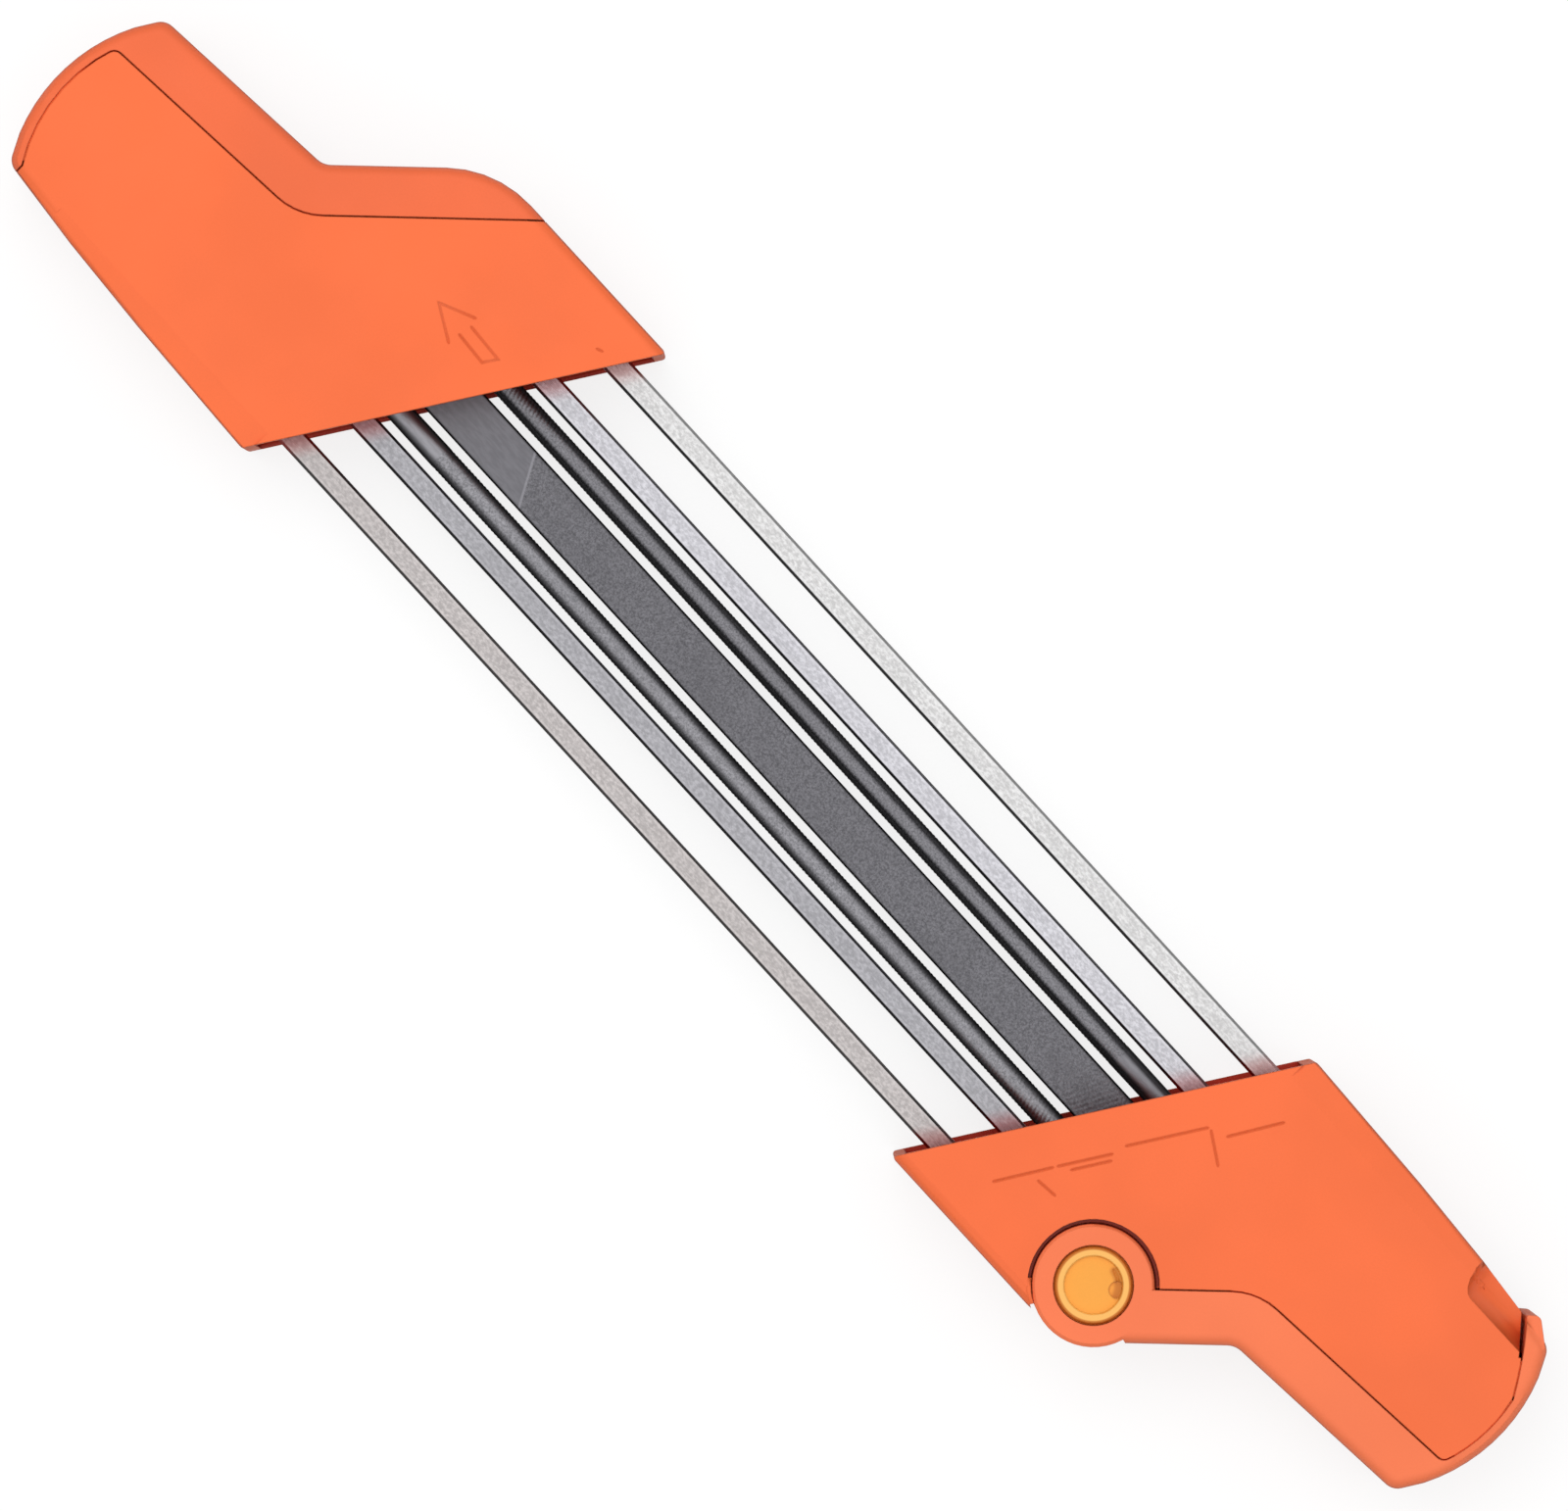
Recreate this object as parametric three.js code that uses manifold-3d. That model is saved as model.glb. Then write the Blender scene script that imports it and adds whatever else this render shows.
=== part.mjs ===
// Chainsaw file guide: two moulded handles held apart by four steel guide rails, with two round files and
// one flat file between them. A hinged flap closes the rear handle and keeps the files in.
// Millimetres. X runs along the files, Y across them, and Z up from the surface that the guide lies on.
// A handle is drawn in its own frame: u runs back from the middle of its mouth, v across it. The front
// handle is the same drawing turned half a turn.

import * as THREE from 'three';
import { mergeVertices } from 'three/addons/utils/BufferGeometryUtils.js';
import Module from 'manifold-3d';

const wasm = await Module();
wasm.setup();

// Handles
const HANDLE_LENGTH = 94.4;
const WIDTH = 70;
const THICKNESS = 28;
const MOUTH_ANGLE = Math.PI / 6;

// Files. Their length sets how far apart the handles stand.
const FILE_LENGTH = 200;
const REAR_SEAT = 12.6;
const FRONT_SEAT = 9;
const FILE_SPACING = 1.5;
const ROUND_FILE_RADIUS = 2.4;
const ROUND_FILE_LIFT = 2.69;
const FILE_HEEL_LENGTH = 21;
const FILE_HEEL_STEP = 0.12;
const FILE_END_CHAMFER = 0.5;
const FLAT_FILE_WIDTH = 10;
const FLAT_FILE_THICKNESS = 3.8;
const FLAT_FILE_CHAMFER = 0.35;

// Fits and cuts
const GAP = 0.3;
const OVERRUN = 6;

// Moulded walls and edges
const WALL = 3;
const EDGE_RADIUS = 2.4;
const MOUTH_LIP = 1.2;
const MOUTH_LIP_WALL = 2.2;
const MOUTH_WALL = 3;
const SOCKET_DEPTH = 9.2;
const SOCKET_WALL = 2.2;
const END_BULGE = 6.05;
const BEND_RADIUS = 22;
const CROOK_RADIUS = 4;
const CORNER_RADIUS = 3.2;
const MOUTH_CORNER_RADIUS = 0.6;

// Corners of a handle seen from above, as shares of its length and of its half width
const BEND_SHARES = [0.28, -1];
const CROOK_SHARES = [0.517, -0.334];
const HEEL_SHARE = -0.237;
const CROWN_SHARE = 0.886;
const SIDE_SHARES = [[0.739, 0.937], [0.528, 0.971], [0.226, 1]];

// Parting line between a handle's body and its flap or cover
const STRIP_WIDTH = 10.35;
const COVER_STRIP_WIDTH = 9.7;
const END_WALL = 2.7;
const SEAM_BEND_RADIUS = 13;
const SEAM_CORNER_RADIUS = 1.6;

// Thinner long side
const SIDE_BEVEL_WIDTH = 5.5;
const SIDE_BEVEL_DROP = 1.2;
const SIDE_BEVEL_SHARES = [0.2, 0.8];

// Ribs inside the grip
const RIB_WIDTH = 1.4;
const RIB_HEIGHT = 2;
const RIB_START_SHARE = 0.67;
const RIB_END_SHARE = 0.9;
const RIB_SHARES = [0.16, 0.38, 0.6];

// Guide rails
const TONGUE_REACH = 2.5;
const TONGUE_THICKNESS = 1.4;
const COVER_TONGUE_SHARE = 0.53;
const FLAP_TONGUE_SHARE = 0.605;
const TONGUE_END_SHARE = 0.96;
const RAIL_WIDTH = 4.6;
const RAIL_THICKNESS = 2.5;
const RAIL_CHAMFER = 0.5;
const RAIL_REACH = 14;
const OUTER_RAIL_INSET = 5.8;
const DOWEL_RADIUS = 1;
const DOWEL_LENGTH = 9;

// Hinge
const PIN_BACK = 22.65;
const KNUCKLE_RADIUS = 11.5;
const KNUCKLE_GAP = 0.8;
const KNUCKLE_WEB = 4.5;
const EAR_THICKNESS = 7;
const EAR_CHAMFER = 0.6;
const PIN_RADIUS = 4;
const PIN_END_RADIUS = 3;
const PIN_HEAD_RADIUS = 7.2;
const PIN_HEAD_HEIGHT = 3;
const PIN_HEAD_RIM = 1.9;
const PIN_HEAD_DISH = 0.8;
const PIN_NOTCH_RADIUS = 1.6;
const PIN_NOTCH_DEPTH = 0.6;
const PIN_NOTCH_ANGLE = Math.PI / 5;
const NECK_INSET = 1.2;
const NECK_ROOM = 0.9;
const STRIP_START_ANGLE = -0.24;

// Latch
const LATCH_THICKNESS = 4.92;
const LATCH_LIP = 2.5;
const LATCH_GAP = 0.5;
const LATCH_TAIL = 2.6;
const LATCH_REACH = 5.4;
const LATCH_BLOCK_WIDTH = 7.5;
const LATCH_BLOCK_SHARES = [0.7, 0.93];
const RELIEF_RADIUS = 8.3;
const RELIEF_RISE = 2;
const RELIEF_OFFSET = 3.4;
const RELIEF_END_LENGTH = 4;
const RELIEF_START_SHARE = 0.76;

// Yoke and pad behind the files, and the wall before their front ends
const YOKE_MARGIN = 0.7;
const YOKE_WALL = 3;
const FRONT_STOP_WALL = 9;
const PAD_THICKNESS = 2.8;
const PAD_HEIGHT = 12;
const PAD_PEG_WIDTH = 8;
const PAD_PEG_HEIGHT = 5;

// How finely round shapes are divided
const ARC_STEPS = 7;
const FILLET_STEPS = 5;
const ROUND_SIDES = 24;
const KNUCKLE_SIDES = 48;

const HALF_WIDTH = WIDTH / 2;
const MIDDLE_Z = THICKNESS / 2;
const MOUTH_X = (FILE_LENGTH - REAR_SEAT - FRONT_SEAT) / 2;
const MOUTH_SLOPE = Math.tan(MOUTH_ANGLE);
const SLANT_GAP = GAP / Math.cos(MOUTH_ANGLE);
const ROUND_FILE_Y = FLAT_FILE_WIDTH / 2 + FILE_SPACING + ROUND_FILE_RADIUS;
const INNER_RAIL_Y = ROUND_FILE_Y + ROUND_FILE_RADIUS + FILE_SPACING + RAIL_WIDTH / 2;
const OUTER_RAIL_Y = HALF_WIDTH - OUTER_RAIL_INSET - RAIL_WIDTH / 2;
const YOKE_HALF_WIDTH = ROUND_FILE_Y + ROUND_FILE_RADIUS + YOKE_MARGIN;

const ORANGE = { color: 0xfb7948, roughness: 0.5, metalness: 0 };
const YELLOW = { color: 0xfcae4e, roughness: 0.4, metalness: 0 };
const RAIL_STEEL = { color: 0xc4c4c8, roughness: 0.3, metalness: 0.9 };
const FILE_STEEL = { color: 0x77767b, roughness: 0.5, metalness: 0.8 };
const DOWEL_STEEL = { color: 0x9a9a9e, roughness: 0.35, metalness: 0.9 };
const PAD_RUBBER = { color: 0x2b2b2d, roughness: 0.9, metalness: 0 };

// Points and outlines

const LONGEST_FILLET_SHARE = 0.49;
const at = (x, y) => new THREE.Vector2(x, y);
const along = (shares) => at(shares[0] * HANDLE_LENGTH, shares[1] * HALF_WIDTH);
const corner = (point, radius = 0) => ({ point, radius });
const polar = (centre, radius, angle) => {
  return at(centre.x + radius * Math.cos(angle), centre.y + radius * Math.sin(angle));
};
const leftOf = (from, to) => at(from.y - to.y, to.x - from.x).normalize();

/** Where the line through a along d crosses the line through b along e. */
function crossing(a, d, b, e) {
  const turn = d.cross(e);
  if (Math.abs(turn) < 1e-9) return b.clone();
  const step = b.clone().sub(a).cross(e) / turn;
  return a.clone().addScaledVector(d, step);
}

/** Points on a circle from one angle to another, both ends included. */
function arc(centre, radius, from, to, steps = ARC_STEPS) {
  const step = (to - from) / steps;
  return Array.from({ length: steps + 1 }, (_, k) => polar(centre, radius, from + step * k));
}

/** The circle through two points that bulges from their chord by a given height, to the chord's right. */
function bulgeCircle(from, to, bulge) {
  const half = from.distanceTo(to) / 2;
  const radius = (half * half + bulge * bulge) / (2 * bulge);
  const middle = from.clone().add(to).multiplyScalar(1 / 2);
  const centre = middle.addScaledVector(leftOf(from, to), radius - bulge);
  return { centre, radius };
}

/** The crossing of two circles that lies on the left, seen from the first centre to the second. */
function circleCrossing(first, second) {
  const apart = first.centre.distanceTo(second.centre);
  const near = (apart ** 2 + first.radius ** 2 - second.radius ** 2) / (2 * apart);
  const high = Math.sqrt(first.radius ** 2 - near ** 2);
  const ahead = second.centre.clone().sub(first.centre).normalize();
  return first.centre.clone().addScaledVector(ahead, near).addScaledVector(at(-ahead.y, ahead.x), high);
}

/** Where a line leaves a circle, going along its direction. */
function lineLeaves(circle, point, direction) {
  const ahead = direction.clone().normalize();
  const foot = circle.centre.clone().sub(point).dot(ahead);
  const near = point.clone().addScaledVector(ahead, foot);
  const reach = Math.sqrt(circle.radius ** 2 - near.distanceToSquared(circle.centre));
  return near.addScaledVector(ahead, reach);
}

/** A closed outline with each side moved to its left by a distance. */
function inset(corners, distance) {
  const count = corners.length;
  return corners.map(({ point, radius }, k) => {
    const before = corners[(k + count - 1) % count].point;
    const after = corners[(k + 1) % count].point;
    const first = leftOf(before, point);
    const second = leftOf(point, after);
    const start = point.clone().addScaledVector(first, distance);
    const end = point.clone().addScaledVector(second, distance);
    const moved = crossing(start, point.clone().sub(before), end, after.clone().sub(point));
    const turnsLeft = first.cross(second) > 0;
    const nextRadius = radius === 0 ? 0 : Math.max(radius + (turnsLeft ? -distance : distance), GAP);
    return corner(moved, nextRadius);
  });
}

/** The points of a closed outline, with an arc at each corner that has a radius. */
function rounded(corners) {
  const count = corners.length;
  return corners.flatMap(({ point, radius }, k) => {
    if (radius === 0) return [point];
    const back = corners[(k + count - 1) % count].point.clone().sub(point);
    const ahead = corners[(k + 1) % count].point.clone().sub(point);
    const cosine = back.dot(ahead) / back.length() / ahead.length();
    const half = Math.acos(THREE.MathUtils.clamp(cosine, -1, 1)) / 2;
    const longest = Math.min(back.length(), ahead.length()) * LONGEST_FILLET_SHARE;
    const run = Math.min(radius / Math.tan(half), longest);
    const fitted = run * Math.tan(half);
    const inward = back.clone().normalize().add(ahead.clone().normalize()).normalize();
    const centre = point.clone().addScaledVector(inward, fitted / Math.sin(half));
    const start = back.clone().setLength(run).add(point).sub(centre).angle();
    const end = ahead.clone().setLength(run).add(point).sub(centre).angle();
    const turn = ((end - start + 3 * Math.PI) % (2 * Math.PI)) - Math.PI;
    return arc(centre, fitted, start, start + turn, FILLET_STEPS);
  });
}

// Solids

/** A closed geometry as a solid that can be joined and cut. */
function solid(geometry) {
  const bare = geometry.clone();
  bare.deleteAttribute('normal');
  bare.deleteAttribute('uv');
  const merged = mergeVertices(bare, 1e-4);
  const vertProperties = new Float32Array(merged.attributes.position.array);
  const triVerts = new Uint32Array(merged.index.array);
  return new wasm.Manifold(new wasm.Mesh({ numProp: 3, vertProperties, triVerts }));
}

/** The upright prism over an outline, from one height to another. */
function prism(points, low, high) {
  const shape = new THREE.Shape(points);
  const geometry = new THREE.ExtrudeGeometry(shape, { depth: high - low, bevelEnabled: false });
  return solid(geometry.translate(0, 0, low));
}

/** A box between two corners. */
function box(low, high) {
  const size = high.clone().sub(low);
  const centre = low.clone().add(high).multiplyScalar(1 / 2);
  return solid(new THREE.BoxGeometry(size.x, size.y, size.z).translate(centre.x, centre.y, centre.z));
}

/** An upright round bar. */
function bar(centre, radius, low, high, sides = ROUND_SIDES) {
  const geometry = new THREE.CylinderGeometry(radius, radius, high - low, sides).rotateX(Math.PI / 2);
  return solid(geometry.translate(centre.x, centre.y, (low + high) / 2));
}

/** A solid turned about an upright axis, from a profile of [radius, height]. */
function turned(centre, profile, sides = ROUND_SIDES) {
  const points = profile.map(([radius, height]) => at(radius, height));
  const geometry = new THREE.LatheGeometry(points, sides).rotateX(Math.PI / 2);
  return solid(geometry.translate(centre.x, centre.y, 0));
}

/** A bar along X with a given cross-section, written as points of [y, z] about its middle line. */
function barAlongX(section, from, to, y, z) {
  const shape = new THREE.Shape(section.map(([across, up]) => at(across, up)));
  const geometry = new THREE.ExtrudeGeometry(shape, { depth: to - from, bevelEnabled: false });
  geometry.rotateX(Math.PI / 2).rotateZ(Math.PI / 2);
  return solid(geometry.translate(from, y, z));
}

/** A rectangle with its corners cut off, as points of [y, z]. */
function chamferedSection(width, height, chamfer) {
  const across = width / 2;
  const up = height / 2;
  return [
    [-across + chamfer, -up], [across - chamfer, -up], [across, -up + chamfer], [across, up - chamfer],
    [across - chamfer, up], [-across + chamfer, up], [-across, up - chamfer], [-across, -up + chamfer],
  ];
}

/** A slab whose two broad faces lie parallel to the mouth, at two depths behind it. */
function slantedSlab(front, back, lowV, highV, low, high) {
  const points = [
    at(front + lowV * MOUTH_SLOPE, lowV), at(back + lowV * MOUTH_SLOPE, lowV),
    at(back + highV * MOUTH_SLOPE, highV), at(front + highV * MOUTH_SLOPE, highV),
  ];
  return prism(points, low, high);
}

const joined = (solids) => solids.reduce((whole, piece) => whole.add(piece));
const cut = (whole, ...tools) => tools.reduce((rest, tool) => rest.subtract(tool), whole);

/** A named mesh with its own material. */
function piece(name, body, look) {
  const { vertProperties, triVerts } = body.getMesh();
  const geometry = new THREE.BufferGeometry();
  geometry.setAttribute('position', new THREE.BufferAttribute(new Float32Array(vertProperties), 3));
  geometry.setIndex(new THREE.BufferAttribute(new Uint32Array(triVerts), 1));
  geometry.computeVertexNormals();
  const mesh = new THREE.Mesh(geometry, new THREE.MeshStandardMaterial(look));
  mesh.name = name;
  return mesh;
}

// Handle outline and parting line

const BEND = along(BEND_SHARES);
const CROOK = along(CROOK_SHARES);
const HEEL = at(HANDLE_LENGTH - END_BULGE, HEEL_SHARE * HALF_WIDTH);
const CROWN = at(HANDLE_LENGTH - END_BULGE, CROWN_SHARE * HALF_WIDTH);
const END_CIRCLE = bulgeCircle(HEEL, CROWN, END_BULGE);
const PIN = at(PIN_BACK, KNUCKLE_RADIUS - HALF_WIDTH);
const LATCH_RADIUS = PIN.distanceTo(CROWN) - LATCH_THICKNESS;
const LATCH_CIRCLE = { centre: PIN, radius: LATCH_RADIUS };
const angleOn = (circle, point) => Math.atan2(point.y - circle.centre.y, point.x - circle.centre.x);
const LATCH_START_ANGLE = angleOn(LATCH_CIRCLE, CROWN) - LATCH_TAIL / LATCH_RADIUS;
const LATCH_END_ANGLE = angleOn(LATCH_CIRCLE, CROWN) + LATCH_REACH / LATCH_RADIUS;

/** A handle seen from above, running past its mouth so that the mouth can be cut clean. */
function handleOutline() {
  const { centre, radius } = END_CIRCLE;
  const end = arc(centre, radius, angleOn(END_CIRCLE, HEEL), angleOn(END_CIRCLE, CROWN), 2 * ARC_STEPS);
  const pastMouth = HALF_WIDTH * MOUTH_SLOPE + 2 * OVERRUN;
  return [
    corner(at(-pastMouth, -HALF_WIDTH)),
    corner(BEND, BEND_RADIUS),
    corner(CROOK, CROOK_RADIUS),
    corner(HEEL, CORNER_RADIUS),
    ...end.slice(2, -2).map((point) => corner(point)),
    corner(CROWN, CORNER_RADIUS),
    ...SIDE_SHARES.map((shares) => corner(along(shares))),
    corner(at(-pastMouth, HALF_WIDTH)),
  ];
}

/**
 * The body's side of the parting line. A latched body ends on the circle that the latch swings along, and
 * reaches in under the knuckle.
 */
function bodyRegion(latched) {
  const slanted = CROOK.clone().sub(BEND);
  const level = HEEL.clone().sub(CROOK);
  const slantedWidth = latched ? STRIP_WIDTH : COVER_STRIP_WIDTH;
  const slantedStart = BEND.clone().addScaledVector(leftOf(BEND, CROOK), slantedWidth);
  const levelStart = CROOK.clone().addScaledVector(leftOf(CROOK, HEEL), STRIP_WIDTH);
  const down = at(PIN.x, -HALF_WIDTH - OVERRUN);
  const foot = latched
    ? [down, crossing(slantedStart, slanted, PIN, at(0, 1))]
    : [crossing(slantedStart, slanted, down, at(1, 0))];
  const bend = crossing(slantedStart, slanted, levelStart, level);
  const endSeam = { centre: END_CIRCLE.centre, radius: END_CIRCLE.radius - END_WALL };
  const heel = lineLeaves(endSeam, levelStart, level);
  const crown = latched ? circleCrossing(endSeam, LATCH_CIRCLE) : polar(endSeam.centre, endSeam.radius,
    angleOn(END_CIRCLE, CROWN));
  const endArc = arc(endSeam.centre, endSeam.radius, angleOn(endSeam, heel), angleOn(endSeam, crown));
  const latchArc = latched
    ? arc(PIN, LATCH_RADIUS, angleOn(LATCH_CIRCLE, crown), 2 * LATCH_END_ANGLE - LATCH_START_ANGLE)
    : [crown, at(crown.x, HALF_WIDTH)];
  const high = HALF_WIDTH + OVERRUN;
  const mouthSide = -HALF_WIDTH * MOUTH_SLOPE - 3 * OVERRUN;
  return [
    ...foot.map((point) => corner(point)),
    corner(bend, SEAM_BEND_RADIUS),
    corner(heel, SEAM_CORNER_RADIUS),
    ...endArc.slice(1, -1).map((point) => corner(point)),
    ...latchArc.map((point) => corner(point)),
    corner(at(latchArc.at(-1).x, high)),
    corner(at(mouthSide, high)),
    corner(at(mouthSide, -high)),
  ];
}

const overHandle = (corners) => prism(rounded(corners), -OVERRUN, THICKNESS + OVERRUN);

// Places of rails and files. The high round file is on the left, which is v below zero in the rear handle.

const RAILS = [
  { name: 'outer_left', y: -OUTER_RAIL_Y },
  { name: 'inner_left', y: -INNER_RAIL_Y },
  { name: 'inner_right', y: INNER_RAIL_Y },
  { name: 'outer_right', y: OUTER_RAIL_Y },
];
const ROUND_HALF = { halfWidth: ROUND_FILE_RADIUS, halfHeight: ROUND_FILE_RADIUS, round: true };
const FLAT_HALF = { halfWidth: FLAT_FILE_WIDTH / 2, halfHeight: FLAT_FILE_THICKNESS / 2, round: false };
const FILES = [
  { name: 'round_file_left', y: -ROUND_FILE_Y, z: MIDDLE_Z + ROUND_FILE_LIFT, ...ROUND_HALF },
  { name: 'flat_file', y: 0, z: MIDDLE_Z, ...FLAT_HALF },
  { name: 'round_file_right', y: ROUND_FILE_Y, z: MIDDLE_Z - ROUND_FILE_LIFT, ...ROUND_HALF },
];
const fileEnd = (file) => MOUTH_X + REAR_SEAT + (file.y - file.halfWidth) * MOUTH_SLOPE;
const mouthAt = (v) => v * MOUTH_SLOPE;

/** The rails and files that enter a handle, with their half sizes, in the handle's own frame. */
function entries(side) {
  const rails = RAILS.map(({ y }) => ({
    v: side * y, z: MIDDLE_Z, halfWidth: RAIL_WIDTH / 2, halfHeight: RAIL_THICKNESS / 2,
  }));
  const files = FILES.map(({ y, z, halfWidth, halfHeight, round }) => ({
    v: side * y, z, halfWidth, halfHeight, round,
  }));
  return [...rails, ...files];
}

/** The hole that a rail or a file goes through, with room all round it. */
function passage({ v, z, halfWidth, halfHeight, round }) {
  const start = mouthAt(v) - 2 * OVERRUN;
  const end = mouthAt(v) + SOCKET_DEPTH + OVERRUN;
  if (round) {
    const angles = Array.from({ length: ROUND_SIDES }, (_, k) => (2 * Math.PI * k) / ROUND_SIDES);
    const reach = halfWidth + GAP;
    return barAlongX(angles.map((a) => [reach * Math.cos(a), reach * Math.sin(a)]), start, end, v, z);
  }
  return box(new THREE.Vector3(start, v - halfWidth - GAP, z - halfHeight - GAP),
    new THREE.Vector3(end, v + halfWidth + GAP, z + halfHeight + GAP));
}

/** The moulded sleeve round a rail or a file, before it is cut off parallel to the mouth. */
function sleeve({ v, z, halfWidth, halfHeight }) {
  const across = halfWidth + SOCKET_WALL;
  const up = halfHeight + SOCKET_WALL;
  return box(new THREE.Vector3(mouthAt(v) - across, v - across, z - up),
    new THREE.Vector3(mouthAt(v) + SOCKET_DEPTH + across, v + across, z + up));
}

/** The whole handle before it is parted: outer shell, mouth wall and sleeves, with an empty grip. */
function hollowHandle(side) {
  const outline = handleOutline();
  const shape = new THREE.Shape(rounded(outline));
  const outer = solid(new THREE.ExtrudeGeometry(shape, {
    depth: THICKNESS - 2 * EDGE_RADIUS,
    bevelEnabled: true,
    bevelThickness: EDGE_RADIUS,
    bevelSize: EDGE_RADIUS,
    bevelOffset: -EDGE_RADIUS,
    bevelSegments: 3,
  }).translate(0, 0, EDGE_RADIUS));
  const top = THICKNESS - WALL;
  const wallBack = MOUTH_LIP + MOUTH_WALL;
  const behindMouth = slantedSlab(wallBack, HANDLE_LENGTH + HALF_WIDTH, -HALF_WIDTH, HALF_WIDTH, WALL, top);
  const hollow = prism(rounded(inset(outline, WALL)), WALL, top).intersect(behindMouth);
  const lip = prism(rounded(inset(outline, MOUTH_LIP_WALL)), MOUTH_LIP_WALL, THICKNESS - MOUTH_LIP_WALL)
    .intersect(slantedSlab(-WIDTH, MOUTH_LIP, -HALF_WIDTH, HALF_WIDTH, 0, THICKNESS));
  const behind = HANDLE_LENGTH + OVERRUN;
  const behindEdge = prism(rounded([
    corner(at(mouthAt(-HALF_WIDTH), -HALF_WIDTH), MOUTH_CORNER_RADIUS),
    corner(at(behind, -HALF_WIDTH)),
    corner(at(behind, HALF_WIDTH)),
    corner(at(mouthAt(HALF_WIDTH), HALF_WIDTH), MOUTH_CORNER_RADIUS),
  ]), -OVERRUN, THICKNESS + OVERRUN);
  const shell = cut(outer, hollow, lip, ...sideBevels()).intersect(behindEdge);
  const places = entries(side);
  const sleeveFront = MOUTH_LIP + MOUTH_WALL / 2;
  const sleeveRoom = slantedSlab(sleeveFront, SOCKET_DEPTH, -HALF_WIDTH, HALF_WIDTH, WALL, top);
  const sleeves = joined(places.map(sleeve)).intersect(sleeveRoom);
  return cut(shell.add(sleeves), ...places.map(passage));
}

/** Wedges that take the long straight side down to a thinner edge, one above and one below. */
function sideBevels() {
  const [from, to] = SIDE_BEVEL_SHARES.map((share) => share * HANDLE_LENGTH);
  const edge = HALF_WIDTH + OVERRUN;
  const crease = HALF_WIDTH - SIDE_BEVEL_WIDTH;
  const rise = (SIDE_BEVEL_DROP / SIDE_BEVEL_WIDTH) * OVERRUN;
  const wedge = [[crease - OVERRUN, rise], [edge, rise], [edge, -SIDE_BEVEL_DROP - rise]];
  const upper = barAlongX(wedge, from, to, 0, THICKNESS);
  return [upper, upper.mirror([0, 0, 1]).translate([0, 0, THICKNESS])];
}

/** Two tongues along the straight seam of a body, which reach in behind the walls of the strip beside it. */
function seamTongues(startShare) {
  const level = HEEL.clone().sub(CROOK);
  const inward = leftOf(CROOK, HEEL);
  const seam = CROOK.clone().addScaledVector(inward, STRIP_WIDTH);
  const [start, end] = [startShare, TONGUE_END_SHARE].map((share) => {
    const place = at(share * HANDLE_LENGTH, 0);
    return crossing(seam, level, place, at(0, 1));
  });
  const beside = (place, reach) => place.clone().addScaledVector(inward, reach);
  const inner = [beside(end, TONGUE_REACH), beside(start, TONGUE_REACH)];
  const outer = [beside(start, -TONGUE_REACH), beside(end, -TONGUE_REACH)];
  const low = WALL + GAP;
  const high = low + TONGUE_THICKNESS;
  const room = prism(rounded(inset(handleOutline(), low)), 0, high);
  const tongue = prism([...outer, ...inner], low, high).intersect(room);
  const root = prism([start, end, ...inner], WALL / 2, high).intersect(room);
  const lower = tongue.add(root);
  return [lower, lower.mirror([0, 0, 1]).translate([0, 0, THICKNESS])];
}

/** Low stiffening ribs along the grip, on the inside of the upper and lower walls. */
function gripRibs() {
  const from = RIB_START_SHARE * HANDLE_LENGTH;
  const to = RIB_END_SHARE * HANDLE_LENGTH;
  return RIB_SHARES.flatMap((share) => {
    const v = share * HALF_WIDTH;
    const low = new THREE.Vector3(from, v - RIB_WIDTH / 2, WALL / 2);
    const high = new THREE.Vector3(to, v + RIB_WIDTH / 2, WALL + RIB_HEIGHT);
    const rib = box(low, high);
    return [rib, rib.mirror([0, 0, 1]).translate([0, 0, THICKNESS])];
  });
}

// Front handle

/** The wall that the front ends of the files stop against, with a seat for each. */
function frontStop() {
  const front = FRONT_SEAT + SLANT_GAP;
  const back = front + FRONT_STOP_WALL;
  const half = YOKE_HALF_WIDTH;
  const wall = slantedSlab(front, back, -half, half, WALL / 2, THICKNESS - WALL / 2);
  const seats = FILES.map((file) => {
    const reach = FRONT_SEAT + (file.halfWidth - file.y) * MOUTH_SLOPE + GAP;
    const across = file.halfWidth + GAP;
    return box(new THREE.Vector3(0, -file.y - across, WALL + RIB_HEIGHT),
      new THREE.Vector3(reach, -file.y + across, THICKNESS - WALL - RIB_HEIGHT));
  });
  return cut(wall, ...seats);
}

function frontHandleBody(handle) {
  const body = handle.intersect(overHandle(bodyRegion(false)));
  return joined([body, frontStop(), ...gripRibs(), ...seamTongues(COVER_TONGUE_SHARE)]);
}

function frontHandleCover(handle) {
  return handle.subtract(overHandle(inset(bodyRegion(false), -GAP)));
}

// Rear handle

const EAR_LOW = EAR_THICKNESS;
const EAR_HIGH = THICKNESS - EAR_THICKNESS;
const KNUCKLE_HOLE = KNUCKLE_RADIUS + KNUCKLE_GAP;

/** A ring sector about the hinge pin, seen from above. */
function ringSector(inner, outer, from, to) {
  const points = [...arc(PIN, outer, from, to), ...arc(PIN, inner, to, from)];
  return prism(points, 0, THICKNESS);
}

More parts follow.
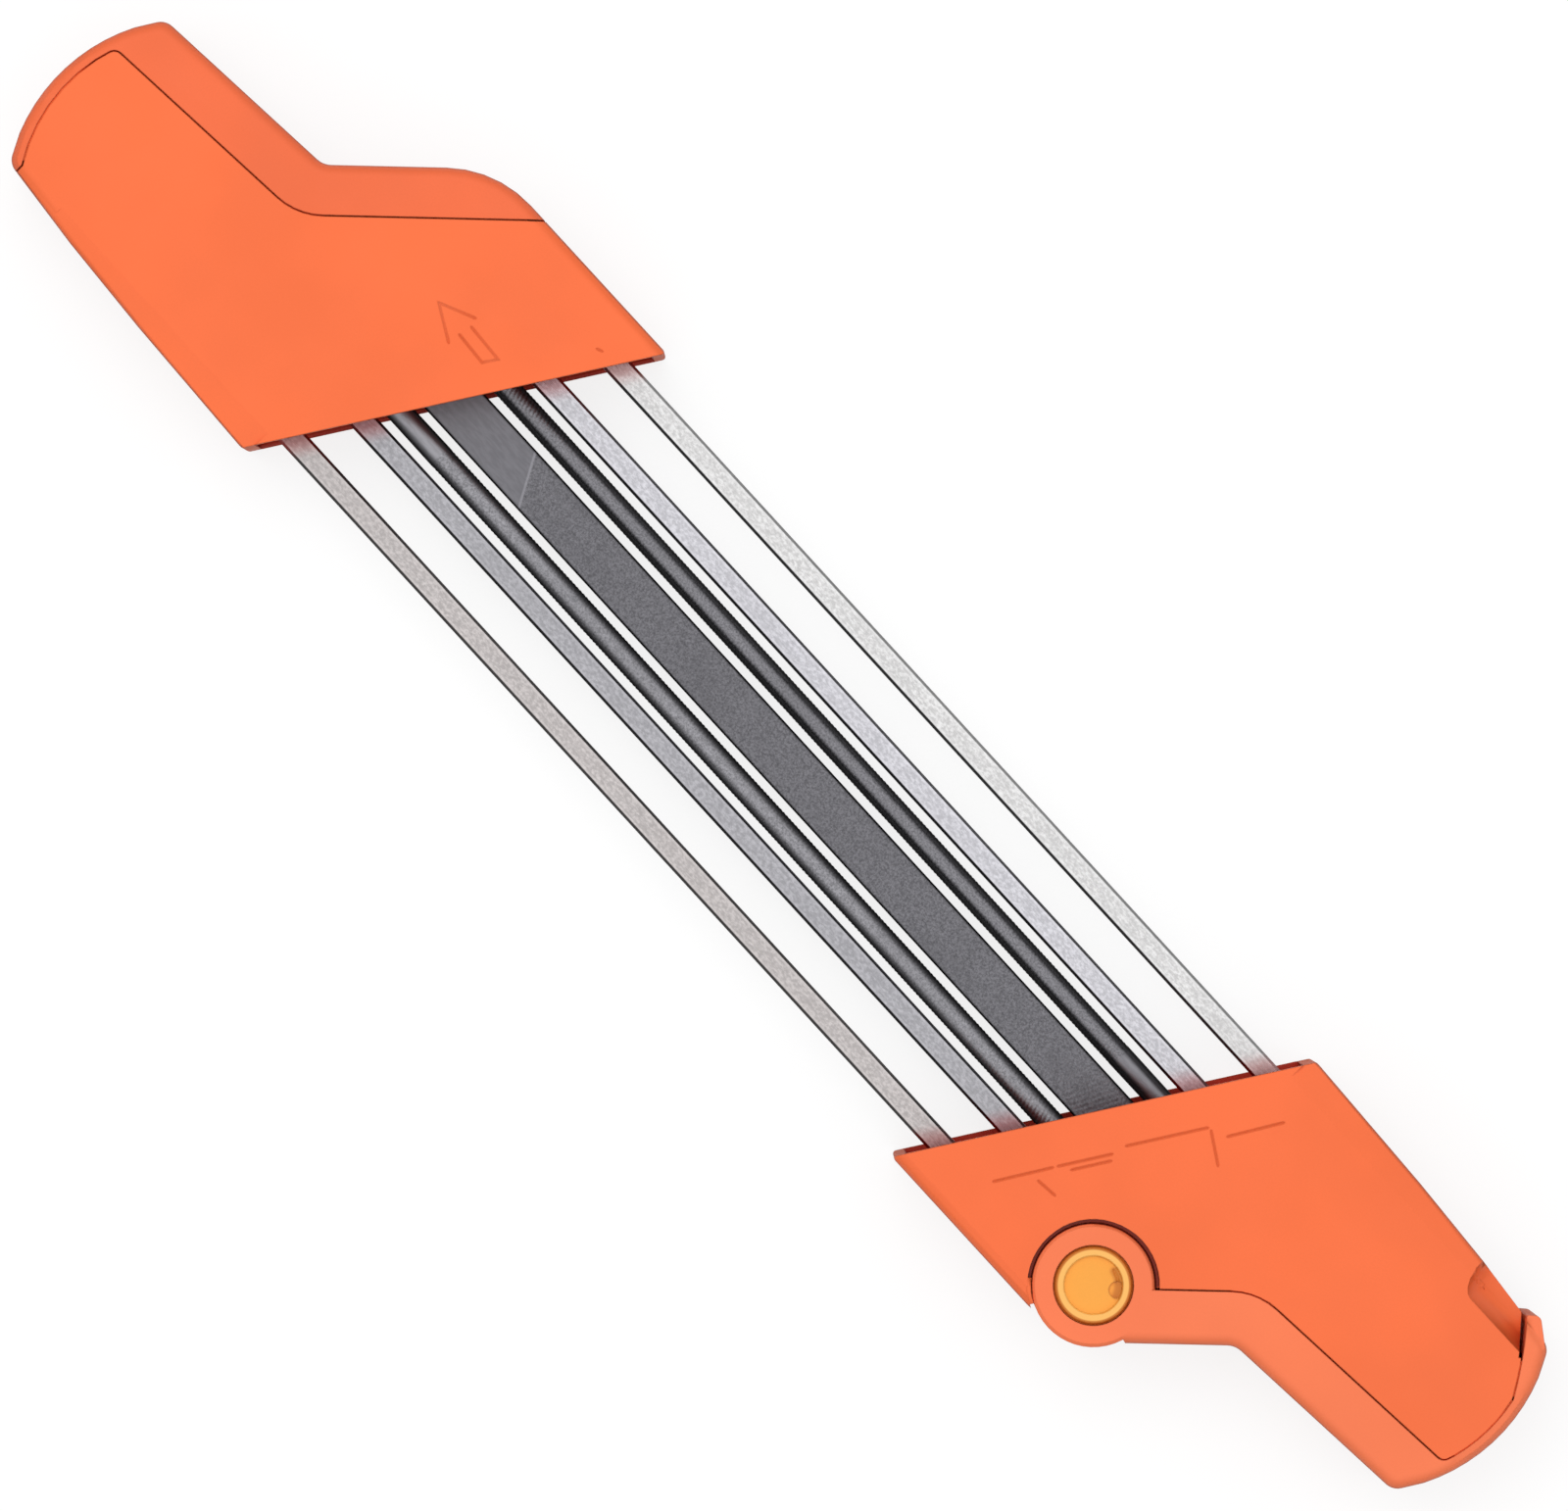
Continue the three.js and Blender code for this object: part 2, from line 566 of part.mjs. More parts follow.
/** The thickened, rounded tip of the latch hook, which stands a little proud of the long side. */
function latchTip() {
  const inner = LATCH_RADIUS + GAP;
  const tip = arc(PIN, inner, LATCH_START_ANGLE, LATCH_END_ANGLE).map((point) => corner(point)).reverse();
  const shoulder = at(CROWN.x - EDGE_RADIUS / 6, CROWN.y - EDGE_RADIUS / 4);
  const outline = [
    ...tip,
    corner(shoulder),
    corner(polar(PIN, inner + LATCH_LIP, LATCH_END_ANGLE), LATCH_LIP / 2),
  ];
  const points = rounded(outline);
  return prism(points, EDGE_RADIUS / 2, THICKNESS - EDGE_RADIUS / 2);
}

/** The scoop for a fingertip in front of the latch, cut from the upper face. */
function fingerRelief() {
  const from = RELIEF_START_SHARE * HANDLE_LENGTH;
  const v = CROWN.y + RELIEF_OFFSET;
  const height = THICKNESS + RELIEF_RISE;
  const length = HANDLE_LENGTH - from;
  const trough = new THREE.CylinderGeometry(RELIEF_RADIUS, RELIEF_RADIUS, length, ROUND_SIDES)
    .rotateZ(Math.PI / 2).translate(from + length / 2, v, height);
  const end = new THREE.SphereGeometry(1, ROUND_SIDES, ROUND_SIDES / 2).rotateZ(Math.PI / 2)
    .scale(RELIEF_END_LENGTH, RELIEF_RADIUS, RELIEF_RADIUS).translate(from, v, height);
  return solid(trough).add(solid(end));
}

/** The block that the flap's two ears straddle, and the neck that carries it. */
function hingeBlock() {
  const railEnd = mouthAt(-OUTER_RAIL_Y) + RAIL_REACH + NECK_ROOM;
  const shoulder = PIN.x - KNUCKLE_HOLE - NECK_ROOM;
  const low = NECK_INSET - HALF_WIDTH;
  const high = -INNER_RAIL_Y - RAIL_WIDTH / 2 - NECK_ROOM;
  const neck = box(new THREE.Vector3(railEnd, low, EAR_LOW + GAP),
    new THREE.Vector3(PIN.x, high, EAR_HIGH - GAP));
  const foot = box(new THREE.Vector3(railEnd, low, WALL / 2),
    new THREE.Vector3(shoulder, high, THICKNESS - WALL / 2));
  const barrel = bar(PIN, KNUCKLE_RADIUS - GAP, EAR_LOW + GAP, EAR_HIGH - GAP, KNUCKLE_SIDES);
  return joined([neck, foot, barrel]);
}

function rearHandleBody(handle) {
  const knuckleRoom = bar(PIN, KNUCKLE_HOLE, -OVERRUN, THICKNESS + OVERRUN, KNUCKLE_SIDES);
  const region = overHandle(bodyRegion(true));
  const latchRoom = ringSector(LATCH_RADIUS - LATCH_GAP, LATCH_RADIUS + OVERRUN, LATCH_START_ANGLE,
    2 * LATCH_END_ANGLE - LATCH_START_ANGLE);
  const [from, to] = LATCH_BLOCK_SHARES.map((share) => share * HANDLE_LENGTH);
  const latchBlock = box(new THREE.Vector3(from, CROWN.y - LATCH_BLOCK_WIDTH, WALL / 2),
    new THREE.Vector3(to, CROWN.y - WALL / 2, THICKNESS - WALL / 2));
  const relief = fingerRelief();
  const lowerRelief = relief.mirror([0, 0, 1]).translate([0, 0, THICKNESS]);
  const shell = handle.subtract(knuckleRoom).add(latchBlock).intersect(region);
  const pinHole = bar(PIN, PIN_RADIUS + GAP, 0, THICKNESS);
  const whole = joined([shell, hingeBlock(), ...gripRibs(), ...seamTongues(FLAP_TONGUE_SHARE)]);
  return cut(whole, relief, lowerRelief, latchRoom, pinHole);
}

/** The two plates and the cross wall that reach from the ears to behind the files. */
function yoke() {
  const wallFront = REAR_SEAT + PAD_THICKNESS + 2 * SLANT_GAP;
  const wallBack = wallFront + YOKE_WALL;
  const half = YOKE_HALF_WIDTH;
  const low = WALL + GAP;
  const high = THICKNESS - WALL - GAP;
  const plate = [
    PIN, polar(PIN, KNUCKLE_RADIUS, Math.PI / 4), at(wallBack + mouthAt(half), half),
    at(wallFront + mouthAt(half), half), at(wallFront - mouthAt(half), -half),
  ];
  const wall = slantedSlab(wallFront, wallBack, -half, half, low, high);
  const across = PAD_PEG_WIDTH / 2 + GAP;
  const up = PAD_PEG_HEIGHT / 2 + GAP;
  const pegHole = box(new THREE.Vector3(wallFront - OVERRUN, -across, MIDDLE_Z - up),
    new THREE.Vector3(wallBack + OVERRUN, across, MIDDLE_Z + up));
  return joined([prism(plate, low, EAR_LOW), prism(plate, EAR_HIGH, high), cut(wall, pegHole)]);
}

function closingFlap(handle) {
  const reach = 2 * HANDLE_LENGTH;
  const rightOfKnuckle = prism([
    PIN, polar(PIN, reach, STRIP_START_ANGLE), at(reach, HALF_WIDTH + OVERRUN),
    at(PIN.x, HALF_WIDTH + OVERRUN),
  ], -OVERRUN, THICKNESS + OVERRUN);
  const region = overHandle(inset(bodyRegion(true), -GAP));
  const solidRoot = outerSlice(KNUCKLE_HOLE + KNUCKLE_WEB);
  const strip = handle.add(solidRoot).subtract(region).intersect(rightOfKnuckle);
  const ears = turned(PIN, [
    [0, 0], [KNUCKLE_RADIUS - EAR_CHAMFER, 0], [KNUCKLE_RADIUS, EAR_CHAMFER],
    [KNUCKLE_RADIUS, THICKNESS - EAR_CHAMFER], [KNUCKLE_RADIUS - EAR_CHAMFER, THICKNESS], [0, THICKNESS],
  ], KNUCKLE_SIDES);
  const blockRoom = bar(PIN, KNUCKLE_HOLE, EAR_LOW, EAR_HIGH, KNUCKLE_SIDES);
  const pinHole = bar(PIN, PIN_RADIUS + GAP, -OVERRUN, THICKNESS + OVERRUN);
  const seatDepth = PIN_HEAD_HEIGHT + 2 * GAP;
  const seatRadius = PIN_HEAD_RADIUS + GAP;
  const headSeat = bar(PIN, seatRadius, THICKNESS - seatDepth, THICKNESS + OVERRUN, KNUCKLE_SIDES);
  const capSeat = bar(PIN, seatRadius, -OVERRUN, seatDepth, KNUCKLE_SIDES);
  const closed = joined([strip, latchTip(), ears]);
  return cut(cut(closed, blockRoom).add(yoke()), pinHole, headSeat, capSeat);
}

/** The part of the full handle within a radius of the hinge pin, solid through. */
function outerSlice(radius) {
  const outline = prism(rounded(inset(handleOutline(), WALL / 2)), WALL / 2, THICKNESS - WALL / 2);
  return outline.intersect(bar(PIN, radius, 0, THICKNESS, KNUCKLE_SIDES));
}

function hingePin() {
  const top = THICKNESS - GAP;
  const neck = top - PIN_HEAD_HEIGHT;
  const step = GAP + PIN_HEAD_HEIGHT + GAP;
  const rim = PIN_HEAD_RADIUS - PIN_HEAD_RIM;
  const profile = [
    [0, 2 * GAP], [PIN_END_RADIUS, 2 * GAP], [PIN_END_RADIUS, step], [PIN_RADIUS, step], [PIN_RADIUS, neck],
    [PIN_HEAD_RADIUS, neck], [PIN_HEAD_RADIUS, top - GAP], [PIN_HEAD_RADIUS - GAP, top], [rim + GAP, top],
    [rim, top - PIN_HEAD_DISH], [0, top - PIN_HEAD_DISH],
  ];
  const notchFloor = top - PIN_HEAD_DISH - PIN_NOTCH_DEPTH;
  const notchCentre = polar(PIN, rim - PIN_NOTCH_RADIUS / 2, PIN_NOTCH_ANGLE);
  const notch = bar(notchCentre, PIN_NOTCH_RADIUS, notchFloor, top);
  const dish = bar(PIN, rim, 0, THICKNESS, KNUCKLE_SIDES);
  return turned(PIN, profile, KNUCKLE_SIDES).subtract(notch.intersect(dish));
}

function hingePinCap() {
  const bore = PIN_END_RADIUS + GAP;
  const low = GAP;
  const high = GAP + PIN_HEAD_HEIGHT;
  const profile = [
    [bore, low], [PIN_HEAD_RADIUS - GAP, low], [PIN_HEAD_RADIUS, low + GAP], [PIN_HEAD_RADIUS, high],
    [bore, high], [bore, low],
  ];
  return turned(PIN, profile, KNUCKLE_SIDES);
}

/** The rubber pad between the yoke and the file ends, with the peg that holds it in the yoke. */
function fileStopPad() {
  const front = REAR_SEAT + SLANT_GAP;
  const back = front + PAD_THICKNESS;
  const half = YOKE_HALF_WIDTH - 2 * GAP;
  const face = slantedSlab(front, back, -half, half, MIDDLE_Z - PAD_HEIGHT / 2, MIDDLE_Z + PAD_HEIGHT / 2);
  const across = PAD_PEG_WIDTH / 2;
  const peg = slantedSlab(back - PAD_THICKNESS / 2, back + SLANT_GAP + YOKE_WALL, -across, across,
    MIDDLE_Z - PAD_PEG_HEIGHT / 2, MIDDLE_Z + PAD_PEG_HEIGHT / 2);
  return face.add(peg);
}

// Rails, dowels and files

const DOWEL_DEPTH = SOCKET_DEPTH + DOWEL_RADIUS / Math.cos(MOUTH_ANGLE) + SLANT_GAP;
const dowelPlace = (v) => at(mouthAt(v) + DOWEL_DEPTH, v);

function rail({ y }) {
  const rear = MOUTH_X + mouthAt(y) + RAIL_REACH;
  const front = -MOUTH_X + mouthAt(y) - RAIL_REACH;
  const section = chamferedSection(RAIL_WIDTH, RAIL_THICKNESS, RAIL_CHAMFER);
  const holes = [1, -1].map((side) => {
    const place = dowelPlace(side * y);
    return bar(at(side * (MOUTH_X + place.x), y), DOWEL_RADIUS + GAP, 0, THICKNESS, ROUND_SIDES / 2);
  });
  return cut(barAlongX(section, front, rear, y, MIDDLE_Z), ...holes);
}

const dowel = (v) => {
  const up = DOWEL_LENGTH / 2;
  return bar(dowelPlace(v), DOWEL_RADIUS, MIDDLE_Z - up, MIDDLE_Z + up, ROUND_SIDES / 2);
};

/** A round file: cut along most of its length, with a plain, slightly thinner heel at one end. */
function roundFile(file, heelFirst) {
  const heel = ROUND_FILE_RADIUS - FILE_HEEL_STEP;
  const profile = [
    at(0, 0), at(heel - FILE_END_CHAMFER, 0), at(heel, FILE_END_CHAMFER), at(heel, FILE_HEEL_LENGTH),
    at(ROUND_FILE_RADIUS, FILE_HEEL_LENGTH + FILE_END_CHAMFER),
    at(ROUND_FILE_RADIUS, FILE_LENGTH - FILE_END_CHAMFER),
    at(ROUND_FILE_RADIUS - FILE_END_CHAMFER, FILE_LENGTH), at(0, FILE_LENGTH),
  ];
  const turn = heelFirst ? -Math.PI / 2 : Math.PI / 2;
  const geometry = new THREE.LatheGeometry(profile, ROUND_SIDES).rotateZ(turn);
  const start = heelFirst ? fileEnd(file) - FILE_LENGTH : fileEnd(file);
  return solid(geometry.translate(start, file.y, file.z));
}

function flatFile(file) {
  const section = chamferedSection(FLAT_FILE_WIDTH, FLAT_FILE_THICKNESS, FLAT_FILE_CHAMFER);
  return barAlongX(section, fileEnd(file) - FILE_LENGTH, fileEnd(file), file.y, file.z);
}

// Assembly

const guide = new THREE.Group();

const frontHandle = new THREE.Group();
frontHandle.position.x = -MOUTH_X;
frontHandle.rotation.z = Math.PI;
const frontShell = hollowHandle(-1);
frontHandle.add(piece('front_handle_body', frontHandleBody(frontShell), ORANGE));
frontHandle.add(piece('front_handle_cover', frontHandleCover(frontShell), ORANGE));

const rearHandle = new THREE.Group();
rearHandle.position.x = MOUTH_X;
const rearShell = hollowHandle(1);
rearHandle.add(piece('rear_handle_body', rearHandleBody(rearShell), ORANGE));
rearHandle.add(piece('closing_flap', closingFlap(rearShell), ORANGE));
rearHandle.add(piece('hinge_pin', hingePin(), YELLOW));
rearHandle.add(piece('hinge_pin_cap', hingePinCap(), YELLOW));
rearHandle.add(piece('file_stop_pad', fileStopPad(), PAD_RUBBER));

for (const place of RAILS) {
  guide.add(piece(`rail_${place.name}`, rail(place), RAIL_STEEL));
  frontHandle.add(piece(`rail_pin_front_${place.name}`, dowel(-place.y), DOWEL_STEEL));
  rearHandle.add(piece(`rail_pin_rear_${place.name}`, dowel(place.y), DOWEL_STEEL));
}

const [leftFile, middleFile, rightFile] = FILES;
guide.add(piece(leftFile.name, roundFile(leftFile, true), FILE_STEEL));
guide.add(piece(middleFile.name, flatFile(middleFile), FILE_STEEL));
guide.add(piece(rightFile.name, roundFile(rightFile, false), FILE_STEEL));
guide.add(frontHandle, rearHandle);

export default guide;
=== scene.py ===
import math

import bmesh
import bpy
import numpy as np
from bpy.props import FloatProperty, FloatVectorProperty, IntProperty, PointerProperty
from mathutils import Matrix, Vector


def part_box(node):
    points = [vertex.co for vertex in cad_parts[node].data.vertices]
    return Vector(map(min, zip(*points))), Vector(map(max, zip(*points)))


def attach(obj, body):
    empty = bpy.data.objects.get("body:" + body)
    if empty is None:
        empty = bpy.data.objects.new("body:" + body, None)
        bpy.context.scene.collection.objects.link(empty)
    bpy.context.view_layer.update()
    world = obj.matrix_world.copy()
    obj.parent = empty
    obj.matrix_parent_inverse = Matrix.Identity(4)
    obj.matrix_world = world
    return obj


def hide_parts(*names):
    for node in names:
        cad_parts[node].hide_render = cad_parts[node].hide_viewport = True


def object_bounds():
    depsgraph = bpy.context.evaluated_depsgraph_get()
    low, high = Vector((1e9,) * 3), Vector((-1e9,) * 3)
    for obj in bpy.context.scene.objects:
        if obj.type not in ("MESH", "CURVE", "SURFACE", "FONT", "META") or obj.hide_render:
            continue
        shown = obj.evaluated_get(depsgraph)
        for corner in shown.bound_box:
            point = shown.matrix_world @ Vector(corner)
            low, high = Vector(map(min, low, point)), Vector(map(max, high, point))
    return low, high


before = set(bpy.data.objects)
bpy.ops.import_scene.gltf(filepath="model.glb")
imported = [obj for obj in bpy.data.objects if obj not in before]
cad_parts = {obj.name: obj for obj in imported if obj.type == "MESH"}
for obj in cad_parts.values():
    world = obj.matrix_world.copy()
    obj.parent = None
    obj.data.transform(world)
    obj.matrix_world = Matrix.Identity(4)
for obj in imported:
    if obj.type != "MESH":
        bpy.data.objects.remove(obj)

CAD_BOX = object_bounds()

bl_info = {
    "name": "File Guide",
    "version": (1, 0, 0),
    "blender": (4, 5, 0),
    "location": "View3D > Sidebar > File Guide",
    "description": "Finishes a saw chain file guide: its mouldings, pin, files, rails and stage",
    "category": "Object",
}

MM = 0.001
HALF_WIDTH = CAD_BOX[1][1]
TOP = CAD_BOX[1][2]
# Most values of a noise lie in this span.
NOISE_SPAN = (0.3, 0.7)


def shade(red, green, blue):
    """A colour written from 0 to 255 as the screen shows it, turned into the values that Blender keeps."""
    value = np.array((red, green, blue)) / 255
    return tuple(np.where(value > 0.04045, ((value + 0.055) / 1.055) ** 2.4, value / 12.92).tolist())


def number(name, description, default, **more):
    """A number that a user may change."""
    return FloatProperty(name=name, description=description, default=default, **more)


def length(name, description, default):
    """A length that a user may change, in metres."""
    return number(name, description, default, min=0, subtype="DISTANCE", unit="LENGTH", precision=5)


def rotation(name, description, default):
    """A turn that a user may change, in radians."""
    return number(name, description, default, subtype="ANGLE", unit="ROTATION")


def colour(name, description, default):
    """A colour that a user may change."""
    return FloatVectorProperty(name=name, description=description, default=default, size=3, min=0, max=1,
                               subtype="COLOR")


class MouldingSettings(bpy.types.PropertyGroup):
    """The orange handles."""
    orange: colour("Orange", "Colour of the moulded plastic", shade(251, 114, 62))
    # Painted shade: the cover is a little darker than the body's orange.
    cover: colour("Cover", "Colour of the front handle's edge strip", shade(243, 110, 64))
    # Painted light: the flap is a little lighter than the body's orange.
    flap: colour("Flap", "Colour of the hinged edge strip", shade(253, 126, 80))
    # Painted shade: this colour darkens the mouths and the gap round the knuckle, and a lighter share of it
    # is a painted reflection on the rails near the mouths.
    shade_colour: colour("Grime", "Colour of the dust and oil in the mouths and gaps", shade(168, 26, 12))
    mouth_place: length("Mouth Place", "Distance of each mouth from the middle of the guide", 89.2 * MM)
    mouth_angle: rotation("Mouth Angle", "Slant of each mouth", math.radians(30))
    edge: length("Edge", "Radius that moulded edges are softened to", 0.35 * MM)
    grain: length("Grain", "Size of the fine grain on the plastic", 0.35 * MM)
    line: length("Mark Line", "Width of the moulded lines on the handles", 0.75 * MM)
    line_depth: length("Mark Depth", "Depth of the moulded lines", 0.3 * MM)
    rib_drop: length("Rib Drop", "How far the rib in a parting line lies under the face", 2 * MM)
    end_drop: length("End Rib Drop", "The same along the end of a handle", 0.35 * MM)


class PinSettings(bpy.types.PropertyGroup):
    """The yellow pin that the flap turns on."""
    yellow: colour("Yellow", "Colour of the pin and its cap", shade(253, 170, 68))
    # Painted highlight: the raised rim and the pin's rounded edges are lightened to this colour.
    rim: colour("Rim", "Colour of the rubbed rim of the pin", shade(254, 194, 108))
    # Painted shade: a ring round the pin's head and the notch in its dish are darkened towards this colour.
    edge_tone: colour("Edge Tone", "Colour of the dirt round the pin's head", shade(205, 118, 42))
    edge: length("Edge", "Radius that moulded edges are softened to", 0.3 * MM)


class FileSettings(bpy.types.PropertyGroup):
    """The two round files and the flat one."""
    round_pitch: length("Round Pitch", "Distance along a round file from one tooth to the next", 0.85 * MM)
    round_depth: length("Round Depth", "Depth of a round file's teeth", 0.11 * MM)
    round_starts: IntProperty(name="Starts", description="Number of spiral rows of teeth", default=6, min=1)
    flat_pitch: length("Flat Pitch", "Distance along the flat file from one cut to the next", 1.05 * MM)
    flat_depth: length("Flat Depth", "Depth of the flat file's cuts", 0.1 * MM)
    heel: length("Heel", "Length of the smooth part at a round file's end", 21 * MM)
    flat_heel: length("Flat Heel", "Length of the smooth part at the flat file's front end", 31.5 * MM)
    flat_slant: number("Flat Heel Slant", "Lean of the border between teeth and heel", 0.6)
    # The round files are of one steel: the right one is darker as painted shade.
    left: colour("Left File", "Colour of the left round file", shade(157, 156, 161))
    right: colour("Right File", "Colour of the right round file", shade(139, 138, 143))
    flat: colour("Flat File", "Colour of the flat file", shade(124, 123, 128))


class RailSettings(bpy.types.PropertyGroup):
    """The four steel rails and the dowels that hold them."""
    # The rails are of one steel: their different colours are painted reflection, darker on the left and
    # lighter on the right.
    outer_left: colour("Outer Left", "Colour of the outer left rail", shade(205, 199, 198))
    inner_left: colour("Inner Left", "Colour of the inner left rail", shade(184, 183, 188))
    inner_right: colour("Inner Right", "Colour of the inner right rail", shade(218, 217, 223))
    outer_right: colour("Outer Right", "Colour of the outer right rail", shade(233, 232, 232))
    dowel: colour("Dowels", "Colour of the dowels", shade(150, 150, 152))
    pad: colour("Stop Pad", "Colour of the rubber pad that the files stand against", shade(34, 34, 36))


class StageSettings(bpy.types.PropertyGroup):
    """The floor, the lamps and the camera."""
    floor: colour("Floor", "Colour of the floor", (0.4, 0.4, 0.4))
    shadow: number("Shadow", "Strength of the shadow that the camera sees on the floor", 0.22, min=0, max=1,
                   subtype="FACTOR")
    overhead: number("Overhead", "Strength of the light from straight above", 1.23, min=0)
    horizon: number("Horizon", "Strength of the light from the sides", 0.08, min=0)
    lamp: number("Lamp", "Power of the soft lamp", 4.8, min=0, subtype="POWER", unit="POWER")
    distance: length("Camera Distance", "Height of the camera above the floor", 2.0)
    turn: rotation("Camera Turn", "Turn of the camera about the upright axis", 0.8287)
    lens: number("Lens", "Focal length in millimetres", 244.2, min=1)


class GuideSettings(bpy.types.PropertyGroup):
    """Everything that a user may change."""
    mouldings: PointerProperty(type=MouldingSettings)
    pin: PointerProperty(type=PinSettings)
    files: PointerProperty(type=FileSettings)
    rails: PointerProperty(type=RailSettings)
    stage: PointerProperty(type=StageSettings)


class Finish:
    """A material under construction. Each call adds a node and gives back the socket that it ends in."""

    def __init__(self, name):
        self.material = bpy.data.materials.new(name)
        self.material.use_nodes = True
        self.tree = self.material.node_tree
        self.surface = self.tree.nodes["Principled BSDF"]
        self.place = self.node("ShaderNodeTexCoord").outputs["Object"]

    def node(self, kind, inputs=(), **settings):
        """A node with its settings, and its inputs joined or set."""
        node = self.tree.nodes.new(kind)
        for name, value in settings.items():
            setattr(node, name, value)
        for key, value in dict(inputs).items():
            self.join(value, node.inputs[key])
        return node

    def join(self, value, socket):
        """Puts a number, a colour or another node's output into a socket."""
        if isinstance(value, bpy.types.NodeSocket):
            self.tree.links.new(value, socket)
        else:
            socket.default_value = value

    def maths(self, operation, *values, clamp=False):
        """The result of a sum on one, two or three numbers."""
        node = self.node("ShaderNodeMath", enumerate(values), operation=operation, use_clamp=clamp)
        return node.outputs[0]

    def product(self, first, *others):
        """The product of several numbers."""
        for other in others:
            first = self.maths("MULTIPLY", first, other)
        return first

    def vector(self, operation, *values, output=0):
        """The result of a sum on one or two vectors."""
        return self.node("ShaderNodeVectorMath", enumerate(values), operation=operation).outputs[output]

    def step(self, value, low, high, start=0.0, end=1.0):
        """A smooth step that goes from start to end while the value goes from low to high."""
        inputs = {0: value, 1: low, 2: high, 3: start, 4: end}
        return self.node("ShaderNodeMapRange", inputs, interpolation_type="SMOOTHSTEP").outputs[0]

    def blend(self, factor, first, second):
        """One colour blended into another."""
        node = self.node("ShaderNodeMix", data_type="RGBA")
        for place, value in zip((0, 6, 7), (factor, first, second)):
            self.join(value, node.inputs[place])
        return node.outputs[2]

    def stain(self, tone, strength, colour):
        """A tone with another colour laid on it, as strong as the strength says. It lays on real stains and
        also painted shade and painted highlights.
        """
        return self.blend(strength, tone, opaque(colour))

    def mottle(self, base, pattern, dark, light):
        """A base colour that goes from one share of its lightness to another as the pattern does."""
        return self.stain(opaque(dim(base, dark)), self.step(pattern, *NOISE_SPAN), dim(base, light))

    def noise(self, size, detail=2.0, stretch=(1, 1, 1), roughness=0.5):
        """Noise whose grains have the given size in metres, drawn out along the axes by the stretch."""
        scale = tuple(1 / (size * share) for share in stretch)
        place = self.node("ShaderNodeMapping", {"Vector": self.place, "Scale": scale}).outputs[0]
        inputs = {"Vector": place, "Scale": 1.0, "Detail": detail, "Roughness": roughness}
        return self.node("ShaderNodeTexNoise", inputs).outputs[0]

    def axis(self, name):
        """One coordinate of the place."""
        return self.node("ShaderNodeSeparateXYZ", {0: self.place}).outputs[name]

    def along(self, slope):
        """The place along the guide less the slope times the place across it."""
        return self.maths("SUBTRACT", self.axis("X"), self.maths("MULTIPLY", self.axis("Y"), slope))

    def away(self, centre):
        """The way in plan from a centre to the place."""
        return self.vector("SUBTRACT", self.vector("MULTIPLY", self.place, (1, 1, 0)), (*centre, 0))

    def line(self, start, end):
        """Distance from a straight line between two places in plan, in metres."""
        run = np.subtract(end, start)
        span = (*run.tolist(), 0)
        away = self.away(start)
        along = self.vector("DOT_PRODUCT", away, span, output=1)
        share = self.maths("DIVIDE", along, float(run @ run), clamp=True)
        nearest = self.node("ShaderNodeVectorMath", {0: span, 3: share}, operation="SCALE").outputs[0]
        return self.vector("DISTANCE", away, nearest, output=1)

    def nearest(self, distances):
        """The smallest of several distances."""
        result = distances[0]
        for distance in distances[1:]:
            result = self.maths("MINIMUM", result, distance)
        return result

    def ring(self, centre, inner, outer, soft):
        """One between two distances from an upright axis, and nothing outside them, with soft borders."""
        reach = self.vector("LENGTH", self.away(centre), output=1)
        outside = self.step(reach, outer, outer + soft)
        return self.maths("SUBTRACT", self.step(reach, inner - soft, inner), outside)

    def level(self, low, high, start=0.0, end=1.0):
        """A smooth step that goes from start to end between two heights."""
        return self.step(self.axis("Z"), low, high, start, end)

    def upward(self, low, high):
        """A smooth step from walls to faces that point up."""
        normal = self.node("ShaderNodeNewGeometry").outputs["Normal"]
        return self.step(self.node("ShaderNodeSeparateXYZ", {0: normal}).outputs["Z"], low, high)

    def bump(self, height, depth, normal=None):
        """A bump of the given depth in metres over a height from 0 to 1."""
        inputs = {"Height": height, "Distance": depth}
        if normal is not None:
            inputs["Normal"] = normal
        return self.node("ShaderNodeBump", inputs).outputs[0]

    def set(self, **values):
        """Sets the surface's sockets. A name's underscores stand for spaces."""
        for name, value in values.items():
            self.join(value, self.surface.inputs[name.replace("_", " ")])


def opaque(value):
    """A colour with its fourth number."""
    return (*value, 1.0)


def dim(value, share):
    """A colour made darker or lighter by a share."""
    return tuple(min(part * share, 1.0) for part in value)


